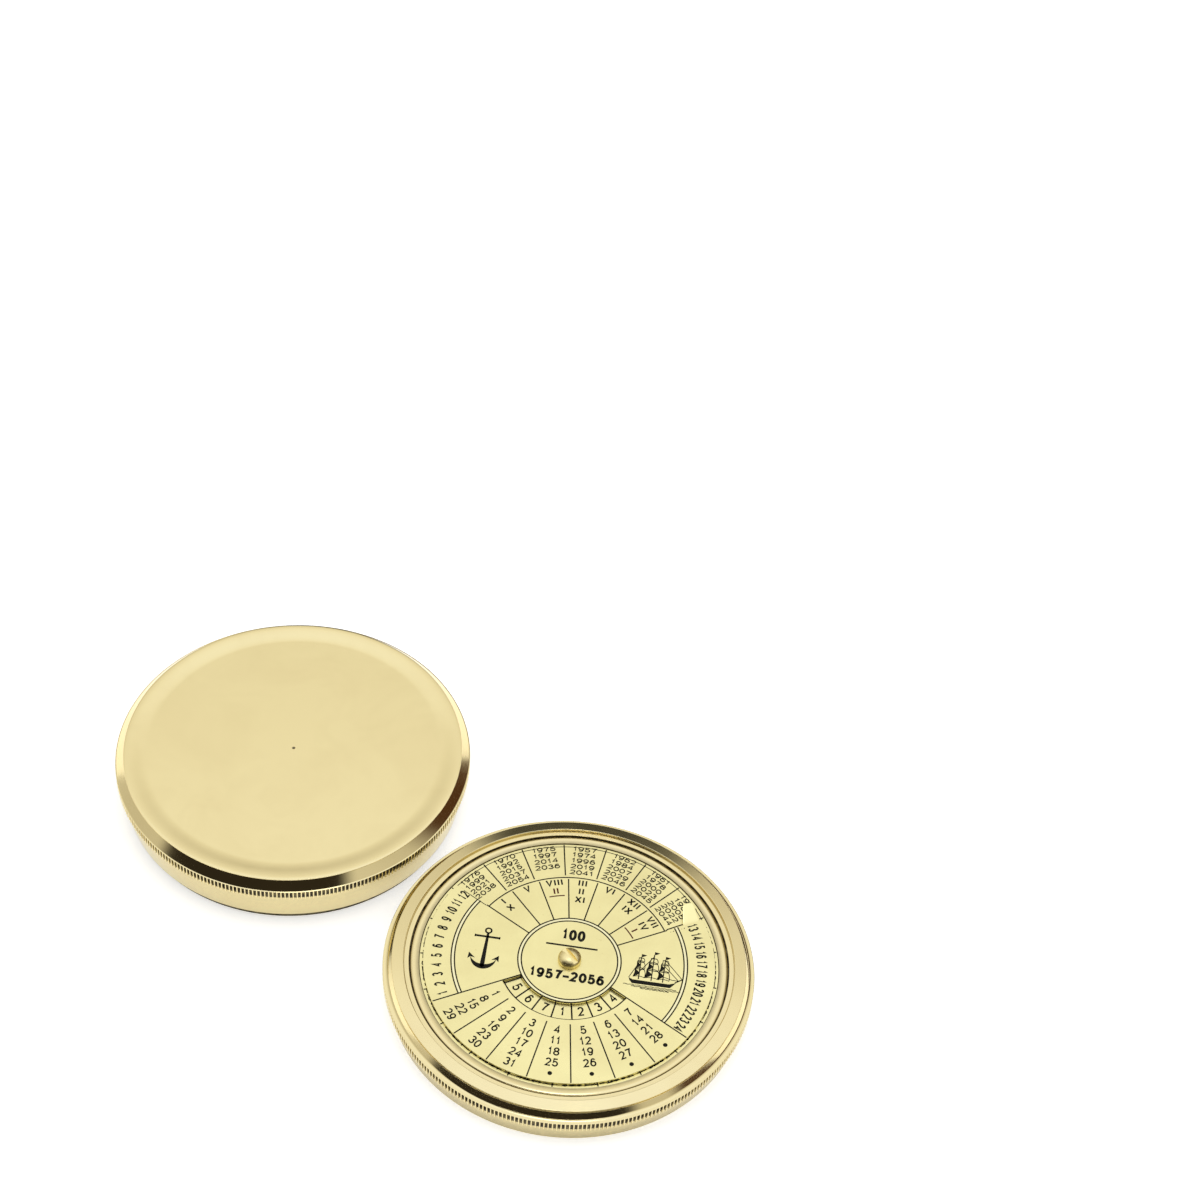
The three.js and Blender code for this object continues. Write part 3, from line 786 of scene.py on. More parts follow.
# The middle lines of the glyphs' strokes, in a box one unit wide and high.
SIX = [[*bow((0.56, 0.62), (0.42, 0.38), 35, 150), (0.02, 0.32)],
       loop_of((0.5, 0.32), (0.49, 0.32))]
GLYPHS = {
    "0": [loop_of((0.5, 0.5), (0.5, 0.5))],
    "1": [[(0.12, 0.74), (0.38, 0.84), (0.58, 1.0), (0.58, 0.0)]],
    "2": [[*bow((0.49, 0.71), (0.46, 0.29), 165, -35), (0.02, 0.0), (1.0, 0.0)]],
    "3": [bow((0.47, 0.765), (0.42, 0.235), 160, -90), bow((0.47, 0.265), (0.5, 0.265), 90, -160)],
    "4": [[(0.74, 0.0), (0.74, 1.0), (0.0, 0.3), (1.0, 0.3)]],
    "5": [[(0.92, 1.0), (0.2, 1.0), (0.1, 0.5), *bow((0.47, 0.32), (0.51, 0.32), 125, -160, 12)]],
    "6": SIX,
    "7": [[(0.0, 1.0), (1.0, 1.0), (0.62, 0.55), (0.4, 0.0)]],
    "8": [loop_of((0.5, 0.76), (0.43, 0.24)), loop_of((0.5, 0.26), (0.5, 0.26))],
    "9": [[(1 - x, 1 - y) for x, y in path] for path in SIX],
    "-": [[(-0.35, 0.4), (1.35, 0.4)]],
    "I": [[(0.5, 0.0), (0.5, 1.0)]],
    "V": [[(0.0, 1.0), (0.5, 0.0), (1.0, 1.0)]],
    "X": [[(0.0, 0.0), (1.0, 1.0)], [(0.0, 1.0), (1.0, 0.0)]],
}
GLYPH_WIDTH = 0.62
GLYPH_WIDTHS = {"-": 0.5, "I": 0.26, "V": 0.72, "X": 0.7, "1": 0.5}


class Print:
    """Flat printed shapes on a round dial, gathered into one mesh of thin closed solids.

    Places are given on the dial as x and y, or as a radius and a bearing clockwise from its top.
    """

    def __init__(self, axis, surface, bearing=0.0, face_down=False):
        sizes = group_of("compass_print")
        self.thickness = sizes.film + sizes.sink
        self.film = sizes.film
        self.axis = axis
        self.surface = surface
        self.bearing = bearing
        self.face_down = face_down
        self.points = []
        self.faces = []

    def add(self, spots, faces):
        """Adds a flat shape, whose faces run anticlockwise, as a thin solid."""
        sheet = [(x, y, self.film) for x, y in spots]
        solid_points, solid_faces = slab(sheet, faces, self.thickness)
        start = len(self.points)
        self.points += solid_points
        self.faces += [tuple(start + corner for corner in face) for face in solid_faces]

    def strip(self, left, right, closed=False):
        """A band between two lines of points, where the first line is on the left."""
        count = len(left)
        spots = [*left, *right]
        faces = []
        for i in range(count if closed else count - 1):
            after = (i + 1) % count
            faces.append((i, i + count, after + count, after))
        self.add(spots, faces)

    def stroke(self, path, width, closed=False):
        """A line of one width along a path of points."""
        left = []
        right = []
        for i, here in enumerate(path):
            before = path[i - 1] if i > 0 or closed else here
            after = path[(i + 1) % len(path)] if i < len(path) - 1 or closed else here
            ahead = (Vector(after) - Vector(here)).normalized()
            behind = (Vector(here) - Vector(before)).normalized()
            along = (ahead + behind).normalized()
            widen = 1.0
            if ahead.length and behind.length:
                widen = 1 / max(MITRE, along.dot(ahead))
            side = Vector((-along.y, along.x)) * (width / 2 * widen)
            left.append((here[0] + side.x, here[1] + side.y))
            right.append((here[0] - side.x, here[1] - side.y))
        self.strip(left, right, closed)

    def patch(self, outline):
        """A filled outline."""
        area = sum(a[0] * b[1] - b[0] * a[1] for a, b in zip(outline, outline[1:] + outline[:1]))
        ring = outline if area > 0 else outline[::-1]
        faces = []
        for a, b, c in tessellate_polygon([[Vector((x, y, 0.0)) for x, y in ring]]):
            (ax, ay), (bx, by), (cx, cy) = ring[a], ring[b], ring[c]
            twist = (bx - ax) * (cy - ay) - (by - ay) * (cx - ax)
            if abs(twist) > 0:
                faces.append((a, b, c) if twist > 0 else (a, c, b))
        self.add(ring, faces)

    def dot(self, centre, radius, sides=16):
        """A round dot."""
        angles = [2 * pi * k / sides for k in range(sides)]
        self.patch([(centre[0] + radius * cos(a), centre[1] + radius * sin(a)) for a in angles])

    def arc(self, radius, width, start=0.0, end=None):
        """A line along a circle, from one bearing clockwise to another, or all round."""
        closed = end is None
        sweep = 2 * pi if closed else end - start
        steps = max(4, round(abs(sweep) / ARC_STEP))
        count = steps if closed else steps + 1
        bearings = [start + sweep * k / steps for k in range(count)]
        self.strip([spot(radius + width / 2, b) for b in bearings],
                   [spot(radius - width / 2, b) for b in bearings], closed)

    def spoke(self, inner, outer, bearing, width):
        """A line from one radius out to another."""
        self.stroke([spot(inner, bearing), spot(outer, bearing)], width)

    def text(self, words, centre, height, tilt=0.0, stretch=1.0, weight=0.16, gap=0.06):
        """Numbers of a given height, centred on a place and tilted clockwise.

        The weight, which is the width of the strokes, and the gap are shares of the height.
        """
        broad = [GLYPH_WIDTHS.get(sign, GLYPH_WIDTH) * stretch for sign in words]
        gap *= stretch
        left = -(sum(broad) + gap * (len(words) - 1)) / 2
        for sign, wide in zip(words, broad):
            for path in GLYPHS[sign]:
                placed = []
                for x, y in path:
                    across = (left + weight / 2 + x * (wide - weight)) * height
                    up = (y - 0.5) * (1 - weight) * height
                    placed.append((centre[0] + across * cos(tilt) + up * sin(tilt),
                                   centre[1] - across * sin(tilt) + up * cos(tilt)))
                closed = path[0] == path[-1] and len(path) > 2
                self.stroke(placed[:-1] if closed else placed, weight * height, closed)
            left += wide + gap

    def row(self, words, radius, bearing, height, outward=True, **style):
        """Numbers on a bearing, with their tops away from the middle or towards it."""
        self.text(words, spot(radius, bearing), height, bearing + (0.0 if outward else pi), **style)

    def mesh(self, name):
        """The finished mesh, turned and moved to the dial's place."""
        placed = []
        for x, y, z in self.points:
            across = x * cos(self.bearing) + y * sin(self.bearing)
            along = y * cos(self.bearing) - x * sin(self.bearing)
            if self.face_down:
                placed.append((self.axis.x + across, self.axis.y - along, self.surface - z))
            else:
                placed.append((self.axis.x + across, self.axis.y + along, self.surface + z))
        return mesh_from(name, placed, self.faces)


def spot(radius, bearing):
    """The place on a dial at a radius and a bearing clockwise from its top."""
    return radius * sin(bearing), radius * cos(bearing)


def knurled_band(case, base, radius, edge_height, slope, lip, ledge):
    """Profile of the knurled band, its flange and the hollow shoulder up to the lip's foot."""
    top = base + case.knurl_height
    wall = radius - case.knurl_proud
    groove_top = top - case.flange_height
    flange = radius - case.edge_round
    points = [
        # The wall under the band and the band's foot are painted darker, as painted shade under the
        # band.
        Turn(wall, base - case.chamfer - case.seat, grime=0.25),
        Turn(wall, base - case.chamfer, groove=0.0, grime=0.5),
        Turn(radius, base, groove=case.groove_depth, grime=0.1),
        Turn(radius, groove_top, groove=case.groove_depth, grime=0.05),
        Turn(radius, groove_top + case.edge_round / 2, groove=0.0),
        Turn(radius, groove_top + case.edge_round),
    ]
    edge = radius - case.shoulder_width
    rise = edge_height - lip - top
    reach = (flange - edge - ledge - rise / tan(slope)) / tan(slope / 2)
    points.append(Turn(flange, top))
    for step in range(COVE_STEPS + 1):
        angle = slope * step / COVE_STEPS
        points.append(Turn(flange - ledge - reach * sin(angle), top + reach * (1 - cos(angle))))
    points.append(Turn(edge, edge_height - lip, fillet=case.edge_round))
    return points


def step_groove(radius, high, low, cut, dirt_and_shade, soft):
    """Profile of a small step down towards the middle with a fine cut at its foot, painted dark
    there as shade with some residue.
    """
    return [
        Turn(radius, high, fillet=soft),
        Turn(radius, low - cut, grime=dirt_and_shade),
        Turn(radius - cut, low - cut, grime=dirt_and_shade),
        Turn(radius - 2 * cut, low, grime=dirt_and_shade / 4, fillet=soft),
    ]


def crowned_bevel(case, inner, low, outer):
    """Profile of the rounded outer part of the bevel beside the dial, from its end to its crest."""
    rise, fall = tan(case.bevel_slope), tan(case.bevel_fall)
    crest = outer - case.bevel_crown
    points = []
    for step in range(COVE_STEPS, -1, -1):
        run = case.bevel_crown * step / COVE_STEPS
        drop = (rise + fall) * run ** 3 / (3 * case.bevel_crown ** 2)
        height = low + rise * (crest - inner + run) - drop
        points.append(Turn(crest + run, height))
    return points


def threaded(radius, depth, case, upwards, dirt_and_shade=0.0):
    """Profile of a bore or collar that carries the screw ridge, in six steps to a ridge's width."""
    low = case.mouth_chamfer
    high = case.thread_start + case.thread_pitch * case.thread_turns + case.thread_width / 2
    steps = round((high - low) / (case.thread_width / 6))
    points = [Turn(radius, low + (high - low) * k / steps, grime=dirt_and_shade, thread=depth)
              for k in range(steps + 1)]
    return points if upwards else points[::-1]


def lid_profile(case, radius):
    """Profile of the lid, up its outside, over the rim to the middle and back along the inside."""
    hole, plate_radius, plate_base, plate_top = ring_of("year_plate", LID_AXIS)
    web_top = plate_base - case.seat
    web_base = web_top - case.lid_web
    wall = radius - case.knurl_proud
    mouth = wall - case.lid_flare
    bore = mouth - case.bore_wall
    edge = radius - case.shoulder_width
    edge_height = case.lid_wall + case.knurl_height + case.shoulder_height
    land = edge - case.land_width
    land_height = edge_height + case.land_rise
    step = land - case.step_width
    step_height = land_height - case.step_depth
    recess = step - case.bevel_width
    bevel_foot = plate_top + case.bevel_step
    cut = case.step_groove
    bevel = crowned_bevel(case, recess, bevel_foot, step - 2 * cut)
    soft = case.edge_round
    return rounded([
        Turn(bore + case.mouth_chamfer, 0.0, fillet=soft),
        Turn(mouth - case.mouth_chamfer, 0.0, fillet=soft),
        Turn(mouth, case.mouth_chamfer, grime=0.5, fillet=soft),
        *knurled_band(case, case.lid_wall, radius, edge_height, case.lid_shoulder, case.lid_lip,
                      case.lid_ledge),
        Turn(edge, edge_height, fillet=1.5 * soft),
        *step_groove(land, land_height, step_height, 0.5 * cut, 0.2, case.step_round),
        *step_groove(step, step_height, bevel[0].height, cut, 1.0, soft),
        *bevel[1:],
        # The recess round the year plate is painted dark, as painted shade in the gap beside the
        # plate.
        Turn(recess, bevel_foot, grime=0.5, fillet=soft / 2),
        Turn(recess, plate_top, grime=0.9),
        Turn(recess, web_top, grime=1.0),
        Turn(plate_radius / 2, web_top, grime=0.3),
        Turn(hole, web_top, fillet=soft),
        Turn(hole, web_base, fillet=soft),
        Turn(bore, web_base, fillet=case.lid_corner),
        *threaded(bore, -case.thread_depth, case, upwards=False),
    ])


def bowl_profile(case, radius):
    """Profile of the bowl from the axis inside it, down to the mouth and up the outside."""
    wall = radius - case.knurl_proud
    shoulder = wall - case.bowl_flare
    bore = wall - case.lid_flare - case.bore_wall
    collar = bore - case.thread_room - case.thread_depth
    counterbore = collar - case.collar_wall
    chamber = counterbore - case.ledge
    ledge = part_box("seat_ring")[1].z + case.seat
    edge = radius - case.shoulder_width
    knurl_base = case.collar_height + case.bowl_wall
    foot_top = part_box("bowl_shell")[1].z
    edge_height = foot_top - case.foot_rise
    crest = edge - case.foot_round
    bottom = foot_top - case.bottom_sink
    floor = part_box("pivot_stud")[1].z + case.seat
    soft = case.edge_round
    foot = []
    for step in range(1, COVE_STEPS):
        share = 1 - step / COVE_STEPS
        foot.append(Turn(crest + case.foot_round * share, foot_top - case.foot_rise * share ** 2))
    for step in range(2 * COVE_STEPS + 1):
        share = step / (2 * COVE_STEPS)
        drop = (1 - cos(pi * share)) / 2
        foot.append(Turn(crest - case.bottom_slope * share, foot_top - case.bottom_sink * drop))
    return rounded([
        Turn(0.0, floor),
        Turn(chamber, floor, fillet=case.bowl_corner),
        Turn(chamber, ledge, fillet=soft),
        # The ledge, the threaded collar and the shoulder's underside are painted dark: painted
        # shade under the shoulder and in the threads, with some residue.
        Turn(counterbore, ledge, grime=0.6),
        Turn(counterbore, case.mouth_chamfer, fillet=soft),
        Turn(counterbore + case.mouth_chamfer, 0.0, fillet=soft),
        Turn(collar - case.mouth_chamfer, 0.0, grime=0.65, fillet=soft),
        *threaded(collar, case.thread_depth, case, upwards=True, dirt_and_shade=1.0),
        Turn(collar, case.collar_height, grime=1.0),
        Turn(shoulder - 3 * soft, case.collar_height, grime=1.0),
        Turn(shoulder, case.collar_height, fillet=soft * 2, grime=0.7),
        Turn(shoulder + case.seat, case.collar_height + 4 * soft, grime=0.15),
        *knurled_band(case, knurl_base, radius, edge_height, case.bowl_shoulder, case.bowl_lip,
                      0.0),
        Turn(edge, edge_height, fillet=soft),
        *foot,
        # The turning mark's hollow is painted dark.
        Turn(1.5 * case.mark_radius, bottom),
        Turn(case.mark_radius, bottom, grime=0.8),
        Turn(0.0, bottom - case.mark_depth, grime=1.0),
    ], loop=False)


def tab_sheet(dial, radius, top):
    """Points and faces of the finger tab's top, whose first row lies on the disc's cut edge.

    It is bent up from about a tenth of its length out.
    """
    inner = radius - dial.tab_inset - dial.tab_base
    narrowing = dial.tab_base - dial.tab_tip
    points = []
    for step in range(TAB_ROWS + 1):
        run = dial.tab_length * sin(step / TAB_ROWS * pi / 2)
        share = run / dial.tab_length
        near_tip = max(0.0, run - (dial.tab_length - dial.tab_round)) / dial.tab_round
        tuck = dial.tab_round * (1 - sqrt(max(0.0, 1 - near_tip ** 2)))
        low = inner + narrowing * share + tuck
        high = inner + dial.tab_base - tuck
        lift = tan(dial.tab_slope) * max(0.0, run - 0.1 * dial.tab_length * (1 - share))
        for place in range(TAB_COLUMNS + 1):
            points.append((-run, low + (high - low) * place / TAB_COLUMNS, top + lift))
    faces = []
    for step in range(TAB_ROWS):
        for place in range(TAB_COLUMNS):
            a = step * (TAB_COLUMNS + 1) + place
            b = a + TAB_COLUMNS + 1
            faces.append((a, a + 1, b + 1, b))
    return points, faces


def disc_mesh(dial, axis):
    """The calendar disc with its year window, day window and finger tab."""
    hole = ring_of("year_plate", axis)[0]
    radius = ring_of("month_disc", axis)[1]
    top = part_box("month_disc")[0].z + dial.disc_thickness
    window = radius - dial.window_depth
    tab_top = radius - dial.tab_inset
    tab_low = tab_top - dial.tab_base
    tab_rows = [tab_low + dial.tab_base * k / TAB_COLUMNS for k in range(TAB_COLUMNS + 1)]
    radii = [hole, dial.hub_radius / 2, dial.hub_radius, dial.hub_radius + dial.day_window,
             window, *tab_rows, radius]
    day_row = radii.index(dial.hub_radius)
    year_row = radii.index(window)
    points = []
    for column in range(DISC_COLUMNS):
        bearing = 2 * pi * column / DISC_COLUMNS
        points += [(*spot(ring, bearing), top) for ring in radii]
    faces = []
    rows = len(radii)
    for column in range(DISC_COLUMNS):
        middle = 2 * pi * (column + 0.5) / DISC_COLUMNS
        from_top = abs((middle + pi) % (2 * pi) - pi)
        for row in range(rows - 1):
            in_year_window = from_top < HALF_SECTOR and row >= year_row
            in_day_window = from_top > SECTOR and row == day_row
            if in_year_window or in_day_window:
                continue
            a = column * rows + row
            b = (column + 1) % DISC_COLUMNS * rows + row
            faces.append((a, b, b + 1, a + 1))
    tab_points, tab_faces = tab_sheet(dial, radius, top)
    start = len(points)
    for x, y, z in tab_points:
        points.append((x * cos(HALF_SECTOR) + y * sin(HALF_SECTOR),
                       y * cos(HALF_SECTOR) - x * sin(HALF_SECTOR), z))
    faces += [tuple(start + corner for corner in face) for face in tab_faces]
    work = bmesh.new()
    corners = [work.verts.new(point) for point in points]
    for face in faces:
        work.faces.new([corners[corner] for corner in face])
    bmesh.ops.remove_doubles(work, verts=work.verts, dist=SAME_SEAM)
    loose = [corner for corner in work.verts if not corner.link_faces]
    bmesh.ops.delete(work, geom=loose, context="VERTS")
    bmesh.ops.recalc_face_normals(work, faces=work.faces)
    work.verts.ensure_lookup_table()
    work.verts.index_update()
    up = sum(face.normal.z for face in work.faces) > 0
    sheet = [tuple(corner.index for corner in (face.verts if up else reversed(face.verts)))
             for face in work.faces]
    spots = [tuple(corner.co) for corner in work.verts]
    work.free()
    solid_points, solid_faces = slab(spots, sheet, dial.disc_thickness)
    placed = []
    for x, y, z in solid_points:
        placed.append((axis.x + x * cos(dial.disc_turn) + y * sin(dial.disc_turn),
                       axis.y + y * cos(dial.disc_turn) - x * sin(dial.disc_turn), z))
    mesh = mesh_from("calendar_disc", placed, solid_faces)
    bevelled(mesh, dial.edge)
    return mesh


def anchor(marks, centre, height):
    """A plain ship's anchor: ring, stock, shank, curved arms and barbed flukes."""
    def at(across, up):
        return centre[0] + across * height, centre[1] + up * height

    def mirrored(points):
        for side in (1, -1):
            yield [at(side * across, up) for across, up in points]

    ring_sides = 20
    angles = [2 * pi * k / ring_sides for k in range(ring_sides)]
    ring = [at(0.06 * cos(angle), 0.435 + 0.06 * sin(angle)) for angle in angles]
    marks.stroke(ring, 0.036 * height, closed=True)
    marks.patch([at(-0.024, 0.38), at(0.024, 0.38), at(0.046, -0.4), at(-0.046, -0.4)])
    marks.patch([at(-0.25, 0.305), at(-0.25, 0.257), at(0.25, 0.257), at(0.25, 0.305)])
    for side in mirrored([(0.235, 0.312), (0.262, 0.312), (0.262, 0.25), (0.235, 0.25)]):
        marks.patch(side)
    outer = []
    inner = []
    arm_steps = 24
    for k in range(arm_steps + 1):
        angle = pi * (0.06 + 0.88 * k / arm_steps)
        thick = 0.044 * sin(angle) + 0.014
        outer.append(at(-0.262 * cos(angle), -0.215 - 0.245 * sin(angle) - thick))
        inner.append(at(-0.262 * cos(angle), -0.215 - 0.245 * sin(angle) + thick))
    marks.strip(inner, outer)
    for side in mirrored([(0.305, -0.15), (0.315, -0.31), (0.262, -0.255), (0.165, -0.272)]):
        marks.patch(side)
    marks.patch([at(-0.055, -0.44), at(0.0, -0.49), at(0.055, -0.44), at(0.0, -0.38)])


def sail(marks, low, top, foot, head, belly, width, shaded):
    """One sail between two heights, with bellied edges and, where it is shaded, a dark lee side.

    The foot and the head are its left and right ends at those heights.
    """
    foot_line = []
    luff = []
    leech = []
    for step in range(SAIL_STEPS + 1):
        share = step / SAIL_STEPS
        swell = sin(pi * share)
        foot_line.append((foot[0] + (foot[1] - foot[0]) * share, low + belly * swell))
        bulge = belly * 0.6 * swell
        height = low + (top - low) * share
        luff.append((foot[0] + (head[0] - foot[0]) * share + bulge, height))
        leech.append((foot[1] + (head[1] - foot[1]) * share + bulge, height))
    marks.stroke(foot_line, width)
    marks.stroke([(head[0], top), (head[1], top)], 1.3 * width)
    marks.stroke(luff, width)
    marks.stroke(leech, width)
    if shaded:
        lee = []
        for step, ((left, height), (right, _)) in enumerate(zip(luff, leech)):
            share = max(0.03, sin(pi * step / SAIL_STEPS))
            lee.append((left + (right - left) * 0.42 * share, height))
        marks.strip(luff, lee)


def ship(marks, centre, width):
    """A three-masted ship under sail, seen from the side, in a plain line style."""
    def at(across, up):
        return centre[0] + across * width, centre[1] + up * width

    line = 0.0135 * width
    masts = ((-0.25, 0.26, 0.1), (-0.03, 0.34, 0.125), (0.17, 0.27, 0.105))
    deck = -0.215
    for across, tall, half in masts:
        marks.stroke([at(across, deck), at(across, tall)], 1.5 * line)
        marks.patch([at(across, tall), at(across, tall + 0.065), at(across + 0.095, tall + 0.05),
                     at(across + 0.04, tall + 0.012)])
        rises = ((deck + 0.045, 0.17), (deck + 0.225, 0.14), (deck + 0.375, 0.1))
        for level, (foot, high) in enumerate(rises):
            broad = half * (1 - 0.2 * level)
            narrow = half * (1 - 0.2 * (level + 1))
            low = centre[1] + foot * width
            top = centre[1] + min(foot + high, tall - 0.02) * width
            if top <= low:
                continue
            x = centre[0] + across * width
            sail(marks, low, top, (x - broad * width, x + broad * width),
                 (x - narrow * width, x + narrow * width), 0.022 * width, line, level < 2)
    hull = [at(-0.42, -0.2), at(-0.35, -0.235), at(0.28, -0.235), at(0.4, -0.19), at(0.31, -0.31),
            at(-0.35, -0.315), at(-0.4, -0.26)]
    marks.patch(hull)
    marks.stroke([at(0.38, -0.19), at(0.5, -0.1)], 1.6 * line)
    stays = (((0.17, 0.26), (0.5, -0.1)), ((0.17, 0.13), (0.44, -0.14)),
             ((0.18, -0.1), (0.44, -0.14)))
    for start, end in stays:
        middle = at((start[0] + end[0]) / 2 + 0.02, (start[1] + end[1]) / 2 - 0.02)
        marks.stroke([at(*start), middle, at(*end)], line)
    marks.stroke([at(-0.25, 0.2), at(-0.42, -0.2)], line)
    marks.stroke([at(-0.03, 0.3), at(-0.25, -0.05)], line)
    wave_steps = 24
    for low, start, end in ((-0.345, -0.5, 0.42), (-0.375, -0.36, 0.5), (-0.4, -0.2, 0.3)):
        waves = [at(start + (end - start) * k / wave_steps, low + 0.008 * sin(2.1 * k))
                 for k in range(wave_steps + 1)]
        marks.stroke(waves, line)


def year_columns():
    """The years of each of the plate's columns, counted clockwise from its top.

    A year's class is the weekday of its first of March, which moves on by one day a year and by
    two at a leap year, and the classes run down by one from column to column.
    """
    columns = []
    for column in range(PLATE_COLUMNS):
        wanted = (TOP_CLASS - column) % DAYS
        years = [year for year in range(FIRST_YEAR, LAST_YEAR + 1)
                 if (year + year // 4) % DAYS == wanted]
        columns.append(years[column // DAYS::PLATE_COLUMNS // DAYS])
    return columns


def print_year_plate(marks, sizes, plate_radius, dial):
    """Lines, years and weekday numbers of the year plate.

    Its ring line lies just outside the disc's rim and stands partly for painted shadow along that
    rim. It is whole in the disc's window and broken into uneven dashes elsewhere.
    """
    # The ring line is print and partly painted shadow along the disc's rim.
    window = radians(62)
    marks.arc(sizes.plate_ring, sizes.thin_line, -window, window)
    at = window
    dash = 0
    while at < 2 * pi - window:
        length = radians(2.2 + 1.7 * sin(2.3 * dash) + 0.9 * sin(5.1 * dash + 1.0))
        radius = sizes.plate_ring + 0.05 * MM * sin(3.7 * dash)
        marks.arc(radius, sizes.thin_line, at, at + length)
        at += length + radians(1.1 + 0.8 * sin(4.3 * dash))
        dash += 1
    inner = sizes.year_row - sizes.year_step
    rim = plate_radius - 0.5 * sizes.line
    for column, years in enumerate(year_columns()):
        bearing = column * COLUMN_ANGLE
        marks.spoke(inner, rim, bearing + COLUMN_ANGLE / 2, sizes.line)
        for row, year in enumerate(years):
            radius = sizes.year_row + sizes.year_step * (YEAR_ROWS - 1 - row)
            marks.row(str(year), radius, bearing, sizes.year_height, stretch=1.6, weight=0.195)
    day_radius = dial.hub_radius + dial.day_window / 2 - sizes.line
    hub = dial.hub_radius - dial.edge
    outer = dial.hub_radius + dial.day_window - 1.5 * sizes.line
    marks.arc(outer, sizes.line)
    for column in range(PLATE_COLUMNS):
        bearing = pi + column * COLUMN_ANGLE
        marks.spoke(hub, outer, bearing + COLUMN_ANGLE / 2, 1.2 * sizes.line)
        weekday = str(-column % DAYS + 1)
        marks.row(weekday, day_radius, bearing, sizes.day_height, outward=False)


# The months of each column of the disc, from its left end, and whether they are for leap years.
MONTH_CELLS = (
    (("I", False), ("X", False)),
    (("V", False),),
    (("VIII", False), ("II", True)),
    (("III", False), ("II", False), ("XI", False)),
    (("VI", False),),
    (("XII", False), ("IX", False)),
    (("VII", False), ("IV", False), ("I", True)),
)


def print_months(marks, red_marks, sizes, dial, radius):
    """Lines and month numbers of the upper sector, in red with a bar for the leap year months."""
    hub = sizes.hub_ring + sizes.ring_gap
    window = radius - dial.window_depth
    marks.arc(window - 2 * sizes.line, sizes.line, -HALF_SECTOR, HALF_SECTOR)
    for edge in range(DAYS + 1):
        bearing = -HALF_SECTOR + COLUMN_ANGLE * edge
        at_end = edge in (0, DAYS)
        marks.spoke(hub, window if at_end else sizes.month_top, bearing, sizes.line)
    for column, months in enumerate(MONTH_CELLS):
        bearing = -HALF_SECTOR + COLUMN_ANGLE * (column + 0.5)
        for row, (month, leap) in enumerate(months):
            row_radius = sizes.month_row - sizes.month_step * row
            target = red_marks if leap else marks
            target.row(month, row_radius, bearing, sizes.month_height, weight=0.2,
                       stretch=1.15, gap=0.1)
            if leap:
                below = row_radius - sizes.month_height / 2 - 1.5 * sizes.line
                wide = sizes.month_height / row_radius
                target.arc(below, sizes.line, bearing - wide, bearing + wide)


def print_dates(marks, sizes, dial, radius):
    """Lines and dates of the lower sector, read from the rim."""
    hub = sizes.hub_ring + sizes.ring_gap
    inner = dial.hub_radius + dial.day_window + 4 * sizes.line
    rim = radius - sizes.thin_line
    for edge in range(DAYS + 1):
        at_end = edge in (0, DAYS)
        marks.spoke(hub if at_end else inner, rim, SECTOR + COLUMN_ANGLE * edge, sizes.line)
    for column in range(DAYS):
        bearing = 2 * SECTOR - COLUMN_ANGLE * (column + 0.5)
        for row in range(DATE_ROWS):
            date = column + 1 + DAYS * row
            row_radius = sizes.date_row + sizes.date_step * row
            if date <= LAST_DATE:
                marks.row(str(date), row_radius, bearing, sizes.date_height, outward=False,
                          weight=0.165, stretch=1.05)
            else:
                marks.dot(spot(row_radius, bearing), 1.7 * sizes.line)


def double_ring(marks, pale_marks, sizes, radius, *ends):
    """Two lines along a circle, all round or between two bearings, with bright brass between."""
    for ring in (radius, radius + sizes.ring_gap):
        marks.arc(ring, sizes.line, *ends)
    pale_marks.arc(radius + sizes.ring_gap / 2, 0.5 * sizes.ring_gap, *ends)


def print_side_bands(marks, pale_marks, sizes):
    """The double arcs beside the anchor and the ship with the hours from 1 to 24 outside them, and
    the double ring round the hub.
    """
    for begin, first in ((-SECTOR, 1), (HALF_SECTOR, HOURS + 1)):
        double_ring(marks, pale_marks, sizes, sizes.side_ring, begin, begin + HALF_SECTOR)
        for hour in range(HOURS):
            bearing = begin + HALF_SECTOR * (hour + 0.5) / HOURS
            marks.row(str(first + hour), sizes.hour_row, bearing, sizes.hour_height, stretch=0.68,
                      weight=0.15)
    double_ring(marks, pale_marks, sizes, sizes.hub_ring)


def print_worn_edge(marks, sizes, radius, dial):
    """Marks at the window's two ends: at the right, dots that wear has left of a line beside the
    finger tab; at the left, a thin line of painted shadow along the cut edge, short of the rim.
    """
    window = radius - dial.window_depth
    for dot in range(6):
        place = spot(window + 2 * sizes.line + 2.2 * sizes.line * dot, radians(61.6))
        marks.dot(place, (0.45 if dot % 2 else 0.3) * sizes.line, 8)
    # Painted shadow of the disc's cut edge, just outside the year window's left end.
    marks.spoke(window, radius - 2.1 * MM, -radians(60.4), sizes.thin_line)


def print_hub(marks, sizes):
    """The calendar's number of years over the screw, a line, and its first and last year below."""
    years = str(LAST_YEAR - FIRST_YEAR + 1)
    marks.text(years, (0.0, sizes.span_row), sizes.span_height, weight=0.22, stretch=0.95)
    marks.stroke([(-sizes.rule_reach, sizes.rule_row), (sizes.rule_reach, sizes.rule_row)],
                 1.5 * sizes.line)
    marks.text(f"{FIRST_YEAR}-{LAST_YEAR}", (0.0, -sizes.range_row), sizes.range_height,
               weight=0.23, stretch=1.07)


